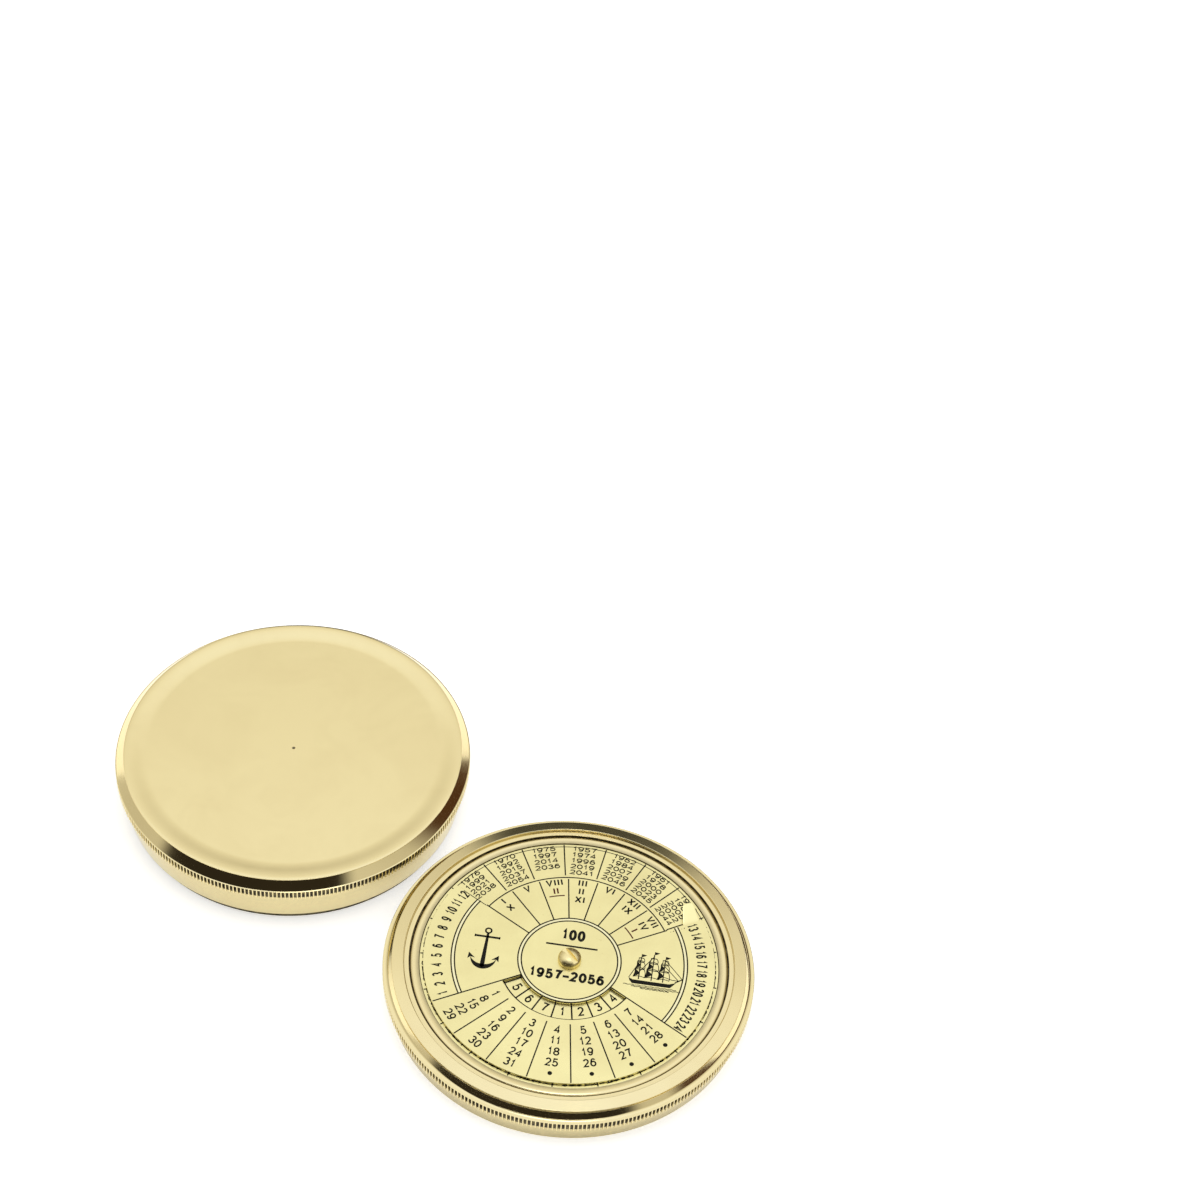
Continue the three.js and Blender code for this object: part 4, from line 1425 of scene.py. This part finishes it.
def print_compass_rose(marks, grey_marks, outer, hub):
    """A rose of sixteen points, a degree ring and its numbers, on the card's face.

    Sizes are shares of the card's radius. The longest points come last, over the shorter ones.
    """
    line = group_of("compass_print").line
    rim = 0.975 * outer
    marks.arc(rim, line)
    marks.arc(0.9 * outer, line / 2)
    marks.arc(0.8 * outer, line)
    for degrees in range(0, 360, 5):
        inner = 0.9 if degrees % 10 else 0.87
        width = line / 2 if degrees % 30 else line
        marks.spoke(inner * outer, rim, radians(degrees), width)
    for degrees in range(0, 360, 30):
        marks.row(str(degrees), 0.835 * outer, radians(degrees), 0.055 * outer)
    for count, reach, breadth, shift in ((8, 0.42, 0.07, 0.5), (4, 0.6, 0.1, 0.5),
                                         (4, 0.77, 0.12, 0.0)):
        half = pi / 8 if count == 4 else pi / 16
        for point in range(count):
            bearing = 2 * pi * (point + shift) / count
            root = spot(hub * 1.1, bearing)
            tip = spot(reach * outer, bearing)
            for side, target in ((1, marks), (-1, grey_marks)):
                flank = spot(breadth * outer + hub, bearing + side * half)
                target.patch([root, flank, tip])


class SCENE_OT_compass_lid_case(Operator):
    """Turns the brass lid with its knurled band and stepped rim"""

    bl_idname = "scene.compass_lid_case"
    bl_label = "Lid Case"

    def execute(self, context):
        case = context.scene.compass_case
        radius = ring_of("lid_shell", LID_AXIS)[1]
        mesh = turned("lid_case", LID_AXIS, lid_profile(case, radius), case.teeth)
        brass = polished_brass(LID_AXIS, "Lid brass")
        new_object("lid_case", mesh, brass, "lid", "polished_brass", "lid_shell")
        return {"FINISHED"}


class SCENE_OT_compass_year_plate(Operator):
    """Makes the fixed year plate and its print"""

    bl_idname = "scene.compass_year_plate"
    bl_label = "Year Plate"

    def execute(self, context):
        dial = context.scene.compass_dial
        sizes = context.scene.compass_print
        finishes = context.scene.compass_finishes
        mesh = turned_ring("year_dial", "year_plate", LID_AXIS, dial.edge)
        new_object("year_dial", mesh, dial_brass(), "lid", "dial_brass", "year_plate")
        _, outer, _, top = ring_of("year_plate", LID_AXIS)
        marks = Print(LID_AXIS, top, dial.plate_turn)
        print_year_plate(marks, sizes, outer, dial)
        ink = printed_ink("Year ink", finishes.ink)
        new_object("year_print", marks.mesh("year_print"), ink, "lid", "dial_brass")
        return {"FINISHED"}


class SCENE_OT_compass_calendar_disc(Operator):
    """Makes the turning calendar disc with its windows, finger tab and print"""

    bl_idname = "scene.compass_calendar_disc"
    bl_label = "Calendar Disc"

    def execute(self, context):
        dial = context.scene.compass_dial
        sizes = context.scene.compass_print
        finishes = context.scene.compass_finishes
        body = "calendar_disc"
        mesh = disc_mesh(dial, LID_AXIS)
        new_object("calendar_plate", mesh, dial_brass(), body, "dial_brass", "month_disc")
        radius = ring_of("month_disc", LID_AXIS)[1]
        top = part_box("month_disc")[0].z + dial.disc_thickness
        black, red, pale = (Print(LID_AXIS, top, dial.disc_turn) for _ in range(3))
        print_months(black, red, sizes, dial, radius)
        print_dates(black, sizes, dial, radius)
        print_side_bands(black, pale, sizes)
        print_worn_edge(black, sizes, radius, dial)
        anchor(black, (-sizes.figure, 0.0), sizes.anchor_height)
        ship(black, (sizes.figure, sizes.ship_rise), sizes.ship_width)
        print_hub(black, sizes)
        ink = printed_ink("Calendar ink", finishes.ink)
        new_object("calendar_print", black.mesh("calendar_print"), ink, body, "dial_brass")
        leap = printed_ink("Leap ink", finishes.red_ink)
        new_object("leap_print", red.mesh("leap_print"), leap, body, "dial_brass")
        band = turned_brass("Bright band", finishes.bright, 0.25, LID_AXIS, mottle=0.05)
        new_object("bright_bands", pale.mesh("bright_bands"), band, body, "dial_brass")
        return {"FINISHED"}


def cut_slot(mesh, dial, axis, radius, top):
    """Cuts the screwdriver slot into the screw's head and rounds its edges."""
    cutter_mesh = bpy.data.meshes.new("slot_cutter")
    work = bmesh.new()
    bmesh.ops.create_cube(work, size=1.0)
    bmesh.ops.scale(work, vec=(3 * radius, dial.slot_width, 2 * dial.slot_depth), verts=work.verts)
    bmesh.ops.rotate(work, cent=(0, 0, 0), matrix=Matrix.Rotation(dial.slot_turn, 3, "Z"),
                     verts=work.verts)
    bmesh.ops.translate(work, vec=(axis.x, axis.y, top), verts=work.verts)
    work.to_mesh(cutter_mesh)
    work.free()
    cutter = bpy.data.objects.new("slot_cutter", cutter_mesh)
    blank = bpy.data.objects.new("screw_blank", mesh)
    for part in (cutter, blank):
        bpy.context.scene.collection.objects.link(part)
    cut = blank.modifiers.new("Slot", "BOOLEAN")
    cut.operation = "DIFFERENCE"
    cut.solver = "EXACT"
    cut.object = cutter
    bpy.context.view_layer.update()
    slotted = blank.evaluated_get(bpy.context.evaluated_depsgraph_get())
    made = bpy.data.meshes.new_from_object(slotted)
    bpy.data.objects.remove(blank)
    bpy.data.objects.remove(cutter)
    bevelled(made, 0.04 * MM, 40)
    return made


class SCENE_OT_compass_dial_screw(Operator):
    """Makes the slotted screw in the dial's middle, its waved washer and its nut"""

    bl_idname = "scene.compass_dial_screw"
    bl_label = "Dial Screw"

    def execute(self, context):
        dial = context.scene.compass_dial
        finishes = context.scene.compass_finishes
        brass = small_brass(LID_AXIS, "Screw brass")
        new_object("dial_screw", screw_mesh(dial), brass, "lid", "screw_brass", "pivot_screw")
        steel = bright_steel("Washer steel", finishes.steel, 0.25, 2500.0)
        new_object("waved_washer", washer_mesh(dial), steel, "lid", "spring_steel",
                   "spring_washer")
        new_object("hex_nut", nut_mesh(dial), brass, "lid", "screw_brass", "screw_nut")
        return {"FINISHED"}


def screw_mesh(dial):
    """The screw: a plain shank, and a head with a short upright side under a full dome."""
    _, head_radius, base, _ = ring_of("pivot_screw", LID_AXIS)
    shank = ring_of("screw_nut", LID_AXIS)[0] - ROOM
    head_base = min(corner.co.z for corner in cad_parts["pivot_screw"].data.vertices
                    if (corner.co.xy - LID_AXIS).length > 0.99 * head_radius)
    side_top = head_base + dial.head_side
    top = side_top + dial.head_dome
    dome = []
    # The dome is painted slightly darker than the head's upright side.
    for step in range(1, DOME_STEPS):
        angle = step / DOME_STEPS * pi / 2
        dome.append(Turn(head_radius * cos(angle) ** 0.9, side_top + dial.head_dome * sin(angle),
                         grime=0.1))
    mesh = turned("dial_screw", LID_AXIS, rounded([
        Turn(0.0, base),
        Turn(shank, base, fillet=0.2 * MM),
        Turn(shank, head_base),
        Turn(head_radius, head_base, fillet=0.1 * MM),
        Turn(head_radius, side_top),
        *dome,
        Turn(0.0, top, grime=0.1),
    ], loop=False), SMALL_COLUMNS, loop=False)
    return cut_slot(mesh, dial, LID_AXIS, head_radius, top)


def washer_mesh(dial):
    """The spring washer, waved up and down round its ring."""
    inner, outer, low, high = ring_of("spring_washer", LID_AXIS)
    wave = dial.washer_wave
    profile = ring_profile(inner, outer, low + wave, high - wave, dial.washer_round)
    mesh = turned("waved_washer", LID_AXIS, profile, SMALL_COLUMNS)
    for corner in mesh.vertices:
        offset = corner.co.xy - LID_AXIS
        corner.co.z += wave * cos(dial.washer_waves * atan2(offset.y, offset.x))
    return mesh


def nut_mesh(dial):
    """The hexagon nut, with its corners turned down and a round bore."""
    inner, corner_radius, low, high = ring_of("screw_nut", LID_AXIS)
    slope = dial.nut_chamfer
    sixth = pi / 6
    rows = ((None, low), (0.93, low), (1.0, low + slope),
            (1.0, high - slope), (0.93, high), (None, high))
    points = []
    for share, height in rows:
        for column in range(SMALL_COLUMNS):
            bearing = 2 * pi * column / SMALL_COLUMNS
            off = (bearing + sixth) % (2 * sixth) - sixth
            hexagon = corner_radius * cos(sixth) / cos(sixth - abs(off))
            radius = share * hexagon if share else inner
            points.append((LID_AXIS.x + radius * cos(bearing), LID_AXIS.y + radius * sin(bearing),
                           height))
    rings = [range(start, start + SMALL_COLUMNS) for start in range(0, len(points), SMALL_COLUMNS)]
    faces = []
    for lower, upper in zip(rings, rings[1:] + rings[:1]):
        faces += ring_faces(lower, upper)
    return mesh_from("hex_nut", points, faces)


class SCENE_OT_compass_bowl_case(Operator):
    """Turns the brass bowl with its foot ring, knurled band and threaded collar"""

    bl_idname = "scene.compass_bowl_case"
    bl_label = "Bowl Case"

    def execute(self, context):
        case = context.scene.compass_case
        radius = ring_of("bowl_shell", BOWL_AXIS)[1]
        mesh = turned("bowl_case", BOWL_AXIS, bowl_profile(case, radius), case.teeth, loop=False)
        brass = polished_brass(BOWL_AXIS, "Bowl brass")
        new_object("bowl_case", mesh, brass, "bowl", "polished_brass", "bowl_shell")
        return {"FINISHED"}


class SCENE_OT_compass_glass_rings(Operator):
    """Makes the glass with its gasket, its seat ring and the ring that holds them"""

    bl_idname = "scene.compass_glass_rings"
    bl_label = "Glass and Rings"

    def execute(self, context):
        brass = polished_brass(BOWL_AXIS, "Ring brass")
        rows = (
            ("glass_retainer", "retaining_ring", brass, "polished_brass", 0.12),
            ("window_glass", "compass_glass", clear_glass(), "clear_glass", 0.15),
            ("glass_seal", "glass_gasket", black_rubber(), "black_gasket", 0.08),
            ("glass_seat", "seat_ring", brass, "polished_brass", 0.1),
        )
        for name, node, material, slot, fillet in rows:
            mesh = turned_ring(name, node, BOWL_AXIS, fillet * MM)
            new_object(name, mesh, material, "bowl", slot, node)
        return {"FINISHED"}


class SCENE_OT_compass_card(Operator):
    """Makes the compass card with its rose, cap, bearing stone, magnets and weight"""

    bl_idname = "scene.compass_card"
    bl_label = "Compass Card"

    def execute(self, context):
        finishes = context.scene.compass_finishes
        mesh = turned_ring("rose_card", "compass_card", BOWL_AXIS, FINE_ROUND)
        new_object("rose_card", mesh, painted_card(), "card", "white_card", "compass_card")
        _, outer, face, _ = ring_of("compass_card", BOWL_AXIS)
        cap_radius = ring_of("jewel_cap", BOWL_AXIS)[1]
        black, grey = (Print(BOWL_AXIS, face, face_down=True) for _ in range(2))
        print_compass_rose(black, grey, outer, cap_radius)
        new_object("rose_print", black.mesh("rose_print"), printed_ink("Rose ink", finishes.ink),
                   "card", "white_card")
        tint = [0.25 + 0.3 * part for part in finishes.ink]
        new_object("rose_shade", grey.mesh("rose_shade"), printed_ink("Rose shade ink", tint),
                   "card", "white_card")
        sizes = context.scene.compass_pivot
        brass = small_brass(BOWL_AXIS, "Cap brass")
        new_object("bearing_cap", cap_mesh(sizes), brass, "card", "screw_brass", "jewel_cap")
        new_object("cup_stone", stone_mesh(sizes), bearing_stone(), "card", "bearing_stone",
                   "jewel_stone")
        steel = bright_steel("Magnet steel", finishes.magnet, 0.4, 1600.0)
        for name, node in (("magnet_bar_east", "magnet_east"), ("magnet_bar_west", "magnet_west")):
            mesh = bar_mesh(name, node, sizes.magnet_round)
            new_object(name, mesh, steel, "card", "magnet_steel", node)
        weight_axis = middle_of("card_weight")
        mesh = turned_ring("levelling_weight", "card_weight", weight_axis, 0.12 * MM, SMALL_COLUMNS)
        brass = small_brass(weight_axis, "Weight brass")
        new_object("levelling_weight", mesh, brass, "card", "screw_brass", "card_weight")
        return {"FINISHED"}


def cap_mesh(sizes):
    """The brass cap: a crown over the stone, a flange against the card and a skirt through it."""
    _, outer, base, top = ring_of("jewel_cap", BOWL_AXIS)
    card_hole, _, card_face, _ = ring_of("compass_card", BOWL_AXIS)
    _, stone_outer, stone_base, _ = ring_of("jewel_stone", BOWL_AXIS)
    skirt = card_hole - ROOM
    flange = card_face - ROOM
    pocket = stone_outer + ROOM
    return turned("bearing_cap", BOWL_AXIS, rounded([
        Turn(0.0, base),
        Turn(sizes.cap_flat, base, fillet=0.2 * MM),
        Turn(sizes.cap_crown, base + sizes.cap_wall, fillet=0.3 * MM),
        Turn(outer, flange - sizes.cap_wall, fillet=0.12 * MM),
        Turn(outer, flange, fillet=FINE_ROUND),
        # The corner where the flange meets the skirt is painted darker, as painted shade.
        Turn(skirt, flange, grime=0.6),
        Turn(skirt, top, fillet=0.08 * MM),
        Turn(pocket, top, fillet=FINE_ROUND),
        Turn(pocket, stone_base - ROOM),
        Turn(0.0, stone_base - ROOM),
    ], loop=False), SMALL_COLUMNS, loop=False)


def stone_mesh(sizes):
    """The bearing stone with the polished cup that sits on the pin."""
    _, outer, base, top = ring_of("jewel_stone", BOWL_AXIS)
    cup_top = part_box("pivot_pin")[0].z - sizes.cup_play
    cup = []
    for step in range(1, CUP_STEPS):
        share = step / CUP_STEPS
        cup.append(Turn(sizes.stone_cup * (1 - share), top - (top - cup_top) * share))
    return turned("cup_stone", BOWL_AXIS, rounded([
        Turn(0.0, base),
        Turn(outer, base, fillet=0.08 * MM),
        Turn(outer, top, fillet=0.08 * MM),
        Turn(sizes.stone_cup, top, fillet=0.03 * MM),
        *cup,
        Turn(0.0, cup_top),
    ], loop=False), SMALL_COLUMNS, loop=False)


def bar_mesh(name, node, edge_round):
    """A bar magnet with rounded edges, in the place of its node."""
    low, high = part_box(node)
    mesh = bpy.data.meshes.new(name)
    work = bmesh.new()
    bmesh.ops.create_cube(work, size=1.0)
    bmesh.ops.scale(work, vec=high - low, verts=work.verts)
    bmesh.ops.translate(work, vec=(high + low) / 2, verts=work.verts)
    bmesh.ops.bevel(work, geom=work.edges[:], offset=edge_round, segments=3, profile=0.5,
                    affect="EDGES")
    work.to_mesh(mesh)
    work.free()
    shade(mesh)
    return mesh


class SCENE_OT_compass_pivot(Operator):
    """Makes the pointed pin that the card turns on and the stud that holds it"""

    bl_idname = "scene.compass_pivot"
    bl_label = "Pivot"

    def execute(self, context):
        sizes = context.scene.compass_pivot
        finishes = context.scene.compass_finishes
        _, pin_radius, tip, pin_top = ring_of("pivot_pin", BOWL_AXIS)
        _, flange, stud_low, stud_high = ring_of("pivot_stud", BOWL_AXIS)
        mesh = turned("needle_pin", BOWL_AXIS, rounded([
            Turn(0.0, tip),
            Turn(sizes.pin_point, tip + sizes.pin_point),
            Turn(pin_radius, tip + sizes.pin_taper, fillet=0.2 * MM),
            Turn(pin_radius, pin_top),
            Turn(0.0, pin_top),
        ], loop=False), SMALL_COLUMNS, loop=False)
        steel = bright_steel("Pin steel", finishes.steel, 0.12, 4000.0)
        new_object("needle_pin", mesh, steel, "bowl", "spring_steel", "pivot_pin")
        bore = pin_radius + ROOM
        flange_face = stud_high - sizes.stud_flange
        mesh = turned("pin_stud", BOWL_AXIS, rounded([
            Turn(0.0, pin_top + ROOM),
            Turn(bore, pin_top + ROOM),
            Turn(bore, stud_low, fillet=FINE_ROUND),
            Turn(sizes.stud_radius, stud_low, fillet=0.15 * MM),
            Turn(sizes.stud_radius, flange_face, fillet=0.2 * MM),
            Turn(flange, flange_face, fillet=0.12 * MM),
            Turn(flange, stud_high, fillet=FINE_ROUND),
            Turn(0.0, stud_high),
        ], loop=False), SMALL_COLUMNS, loop=False)
        brass = small_brass(BOWL_AXIS, "Stud brass")
        new_object("pin_stud", mesh, brass, "bowl", "screw_brass", "pivot_stud")
        return {"FINISHED"}


def add_light(name, place, sides, energy, tint):
    """An oblong soft light that faces the object."""
    lamp = bpy.data.lights.new(name, "AREA")
    lamp.shape = "RECTANGLE"
    lamp.size, lamp.size_y = sides
    lamp.energy = energy
    lamp.color = tint
    holder = bpy.data.objects.new(name, lamp)
    holder.location = place
    towards = Vector((0.0, 0.0, 0.0)) - Vector(place)
    holder.rotation_euler = towards.to_track_quat("-Z", "Y").to_euler()
    bpy.context.scene.collection.objects.link(holder)


def light_tent(stage):
    """A light tent, brighter upwards, with two dark screens behind and a dark room in front.

    Its bands are given as heights on a dome one unit high, and its screens as bearings and
    elevations in degrees, each with the two values between which it fades in or out.
    """
    bands = ((stage.sky, 0.47, 0.8), (stage.high_sky, 0.74, 0.97), (stage.top_sky, 0.987, 0.997))
    screens = ((stage.screen, 68, (30, 40), (30.5, 33.5)), (stage.brown, 32, (54, 66), (19, 26)))
    room = (-0.253, -0.945, 0.208)
    world = bpy.data.worlds.new("Light tent")
    bpy.context.scene.world = world
    board = Board(world=world)
    direction = board.add("ShaderNodeTexCoord").outputs["Generated"]
    height = board.add("ShaderNodeSeparateXYZ", direction).outputs["Z"]
    light = stage.low_sky
    for tint, start, full in bands:
        light = board.mixed(board.spread(height, start, full, 0.0, 1.0), light, tint)
    level = board.vector("MULTIPLY", direction, (1.0, 1.0, 0.0)).outputs[0]
    heading = board.vector("NORMALIZE", level).outputs[0]
    for tint, bearing, reach, top in screens:
        middle = (cos(radians(bearing)), sin(radians(bearing)), 0.0)
        beside = near(board, heading, middle, *reach)
        below = board.spread(height, *(sin(radians(angle)) for angle in top), 1.0, 0.0)
        light = board.mixed(board.maths("MULTIPLY", beside, below), light, tint)
    light = board.mixed(near(board, direction, room, 48, 58), light, stage.dark)
    background = board.tree.nodes["Background"]
    board.put(light, background.inputs["Color"])
    background.inputs["Strength"].default_value = stage.tent_strength


def near(board, direction, middle, full, gone):
    """One within so many degrees of a direction, and nought beyond so many degrees."""
    facing = board.vector("DOT_PRODUCT", direction, middle).outputs["Value"]
    node = board.add("ShaderNodeMapRange", facing, cos(radians(gone)), cos(radians(full)), 0.0, 1.0,
                     clamp=True, interpolation_type="SMOOTHSTEP")
    return node.outputs["Result"]


class SCENE_OT_compass_stage(Operator):
    """Sets up the pale floor, the light tent, the lamps and the camera"""

    bl_idname = "scene.compass_stage"
    bl_label = "Stage"

    def execute(self, context):
        stage = context.scene.compass_stage
        half = stage.floor_size / 2
        mesh = bpy.data.meshes.new("floor")
        corners = [(-half, -half, 0), (half, -half, 0), (half, half, 0), (-half, half, 0)]
        mesh.from_pydata(corners, [], [(0, 1, 2, 3)])
        tint = stage.floor_colour
        mesh.materials.append(Board("Floor").finish(
            Base_Color=tint, Roughness=0.9, Specular_IOR_Level=0.1, Emission_Color=tint,
            Emission_Strength=stage.glow))
        floor = bpy.data.objects.new("floor", mesh)
        context.scene.collection.objects.link(floor)
        light_tent(stage)
        add_light("overhead", (0.03, -0.06, 1.1), (0.3, 0.2), 0.6, (1.0, 0.99, 0.97))
        add_light("strip", (0.0, -0.62, 0.8), (0.7, 0.04), 0.25, (1.0, 0.96, 0.9))
        lens = bpy.data.cameras.new("camera")
        lens.lens = stage.lens
        lens.sensor_width = 36.0
        lens.clip_start = 0.01
        camera = bpy.data.objects.new("camera", lens)
        context.scene.collection.objects.link(camera)
        pitch, roll = stage.camera_pitch, stage.camera_roll
        ahead = Vector((0.0, cos(pitch), -sin(pitch)))
        level = Vector((1.0, 0.0, 0.0))
        upright = Vector((0.0, sin(pitch), cos(pitch)))
        right = level * cos(roll) + upright * sin(roll)
        above = upright * cos(roll) - level * sin(roll)
        turned_axes = Matrix((right, above, -ahead)).transposed().to_4x4()
        camera.matrix_world = Matrix.Translation(stage.camera_place) @ turned_axes
        context.scene.camera = camera
        context.scene.view_settings.view_transform = "Standard"
        return {"FINISHED"}


BUILD_STEPS = (
    SCENE_OT_compass_stage,
    SCENE_OT_compass_lid_case,
    SCENE_OT_compass_year_plate,
    SCENE_OT_compass_calendar_disc,
    SCENE_OT_compass_dial_screw,
    SCENE_OT_compass_bowl_case,
    SCENE_OT_compass_glass_rings,
    SCENE_OT_compass_card,
    SCENE_OT_compass_pivot,
)

GROUPS = {
    "compass_case": CaseSizes,
    "compass_dial": DialSizes,
    "compass_pivot": PivotSizes,
    "compass_print": PrintSizes,
    "compass_finishes": Finishes,
    "compass_stage": StageSizes,
}


class VIEW3D_PT_calendar_compass(Panel):
    """Lists the pieces of the calendar compass"""

    bl_label = "Calendar Compass"
    bl_idname = "VIEW3D_PT_calendar_compass"
    bl_space_type = "VIEW_3D"
    bl_region_type = "UI"
    bl_category = "Compass"

    def draw(self, context):
        for step in BUILD_STEPS:
            self.layout.operator(step.bl_idname)
        for name, group in GROUPS.items():
            box = self.layout.box()
            box.label(text=group.__doc__)
            for key in group.__annotations__:
                box.prop(getattr(context.scene, name), key)


def register():
    """Registers the classes and hangs the property groups on the scene."""
    for group in (*GROUPS.values(), *BUILD_STEPS, VIEW3D_PT_calendar_compass):
        bpy.utils.register_class(group)
    for name, group in GROUPS.items():
        setattr(bpy.types.Scene, name, PointerProperty(type=group))


def unregister():
    """Takes the property groups and the classes away again."""
    for name in GROUPS:
        delattr(bpy.types.Scene, name)
    for group in (VIEW3D_PT_calendar_compass, *reversed(BUILD_STEPS), *reversed(GROUPS.values())):
        bpy.utils.unregister_class(group)


def main():
    """Builds every piece in order."""
    register()
    for step in BUILD_STEPS:
        group, name = step.bl_idname.split(".")
        getattr(getattr(bpy.ops, group), name)()


if __name__ == "__main__":
    main()
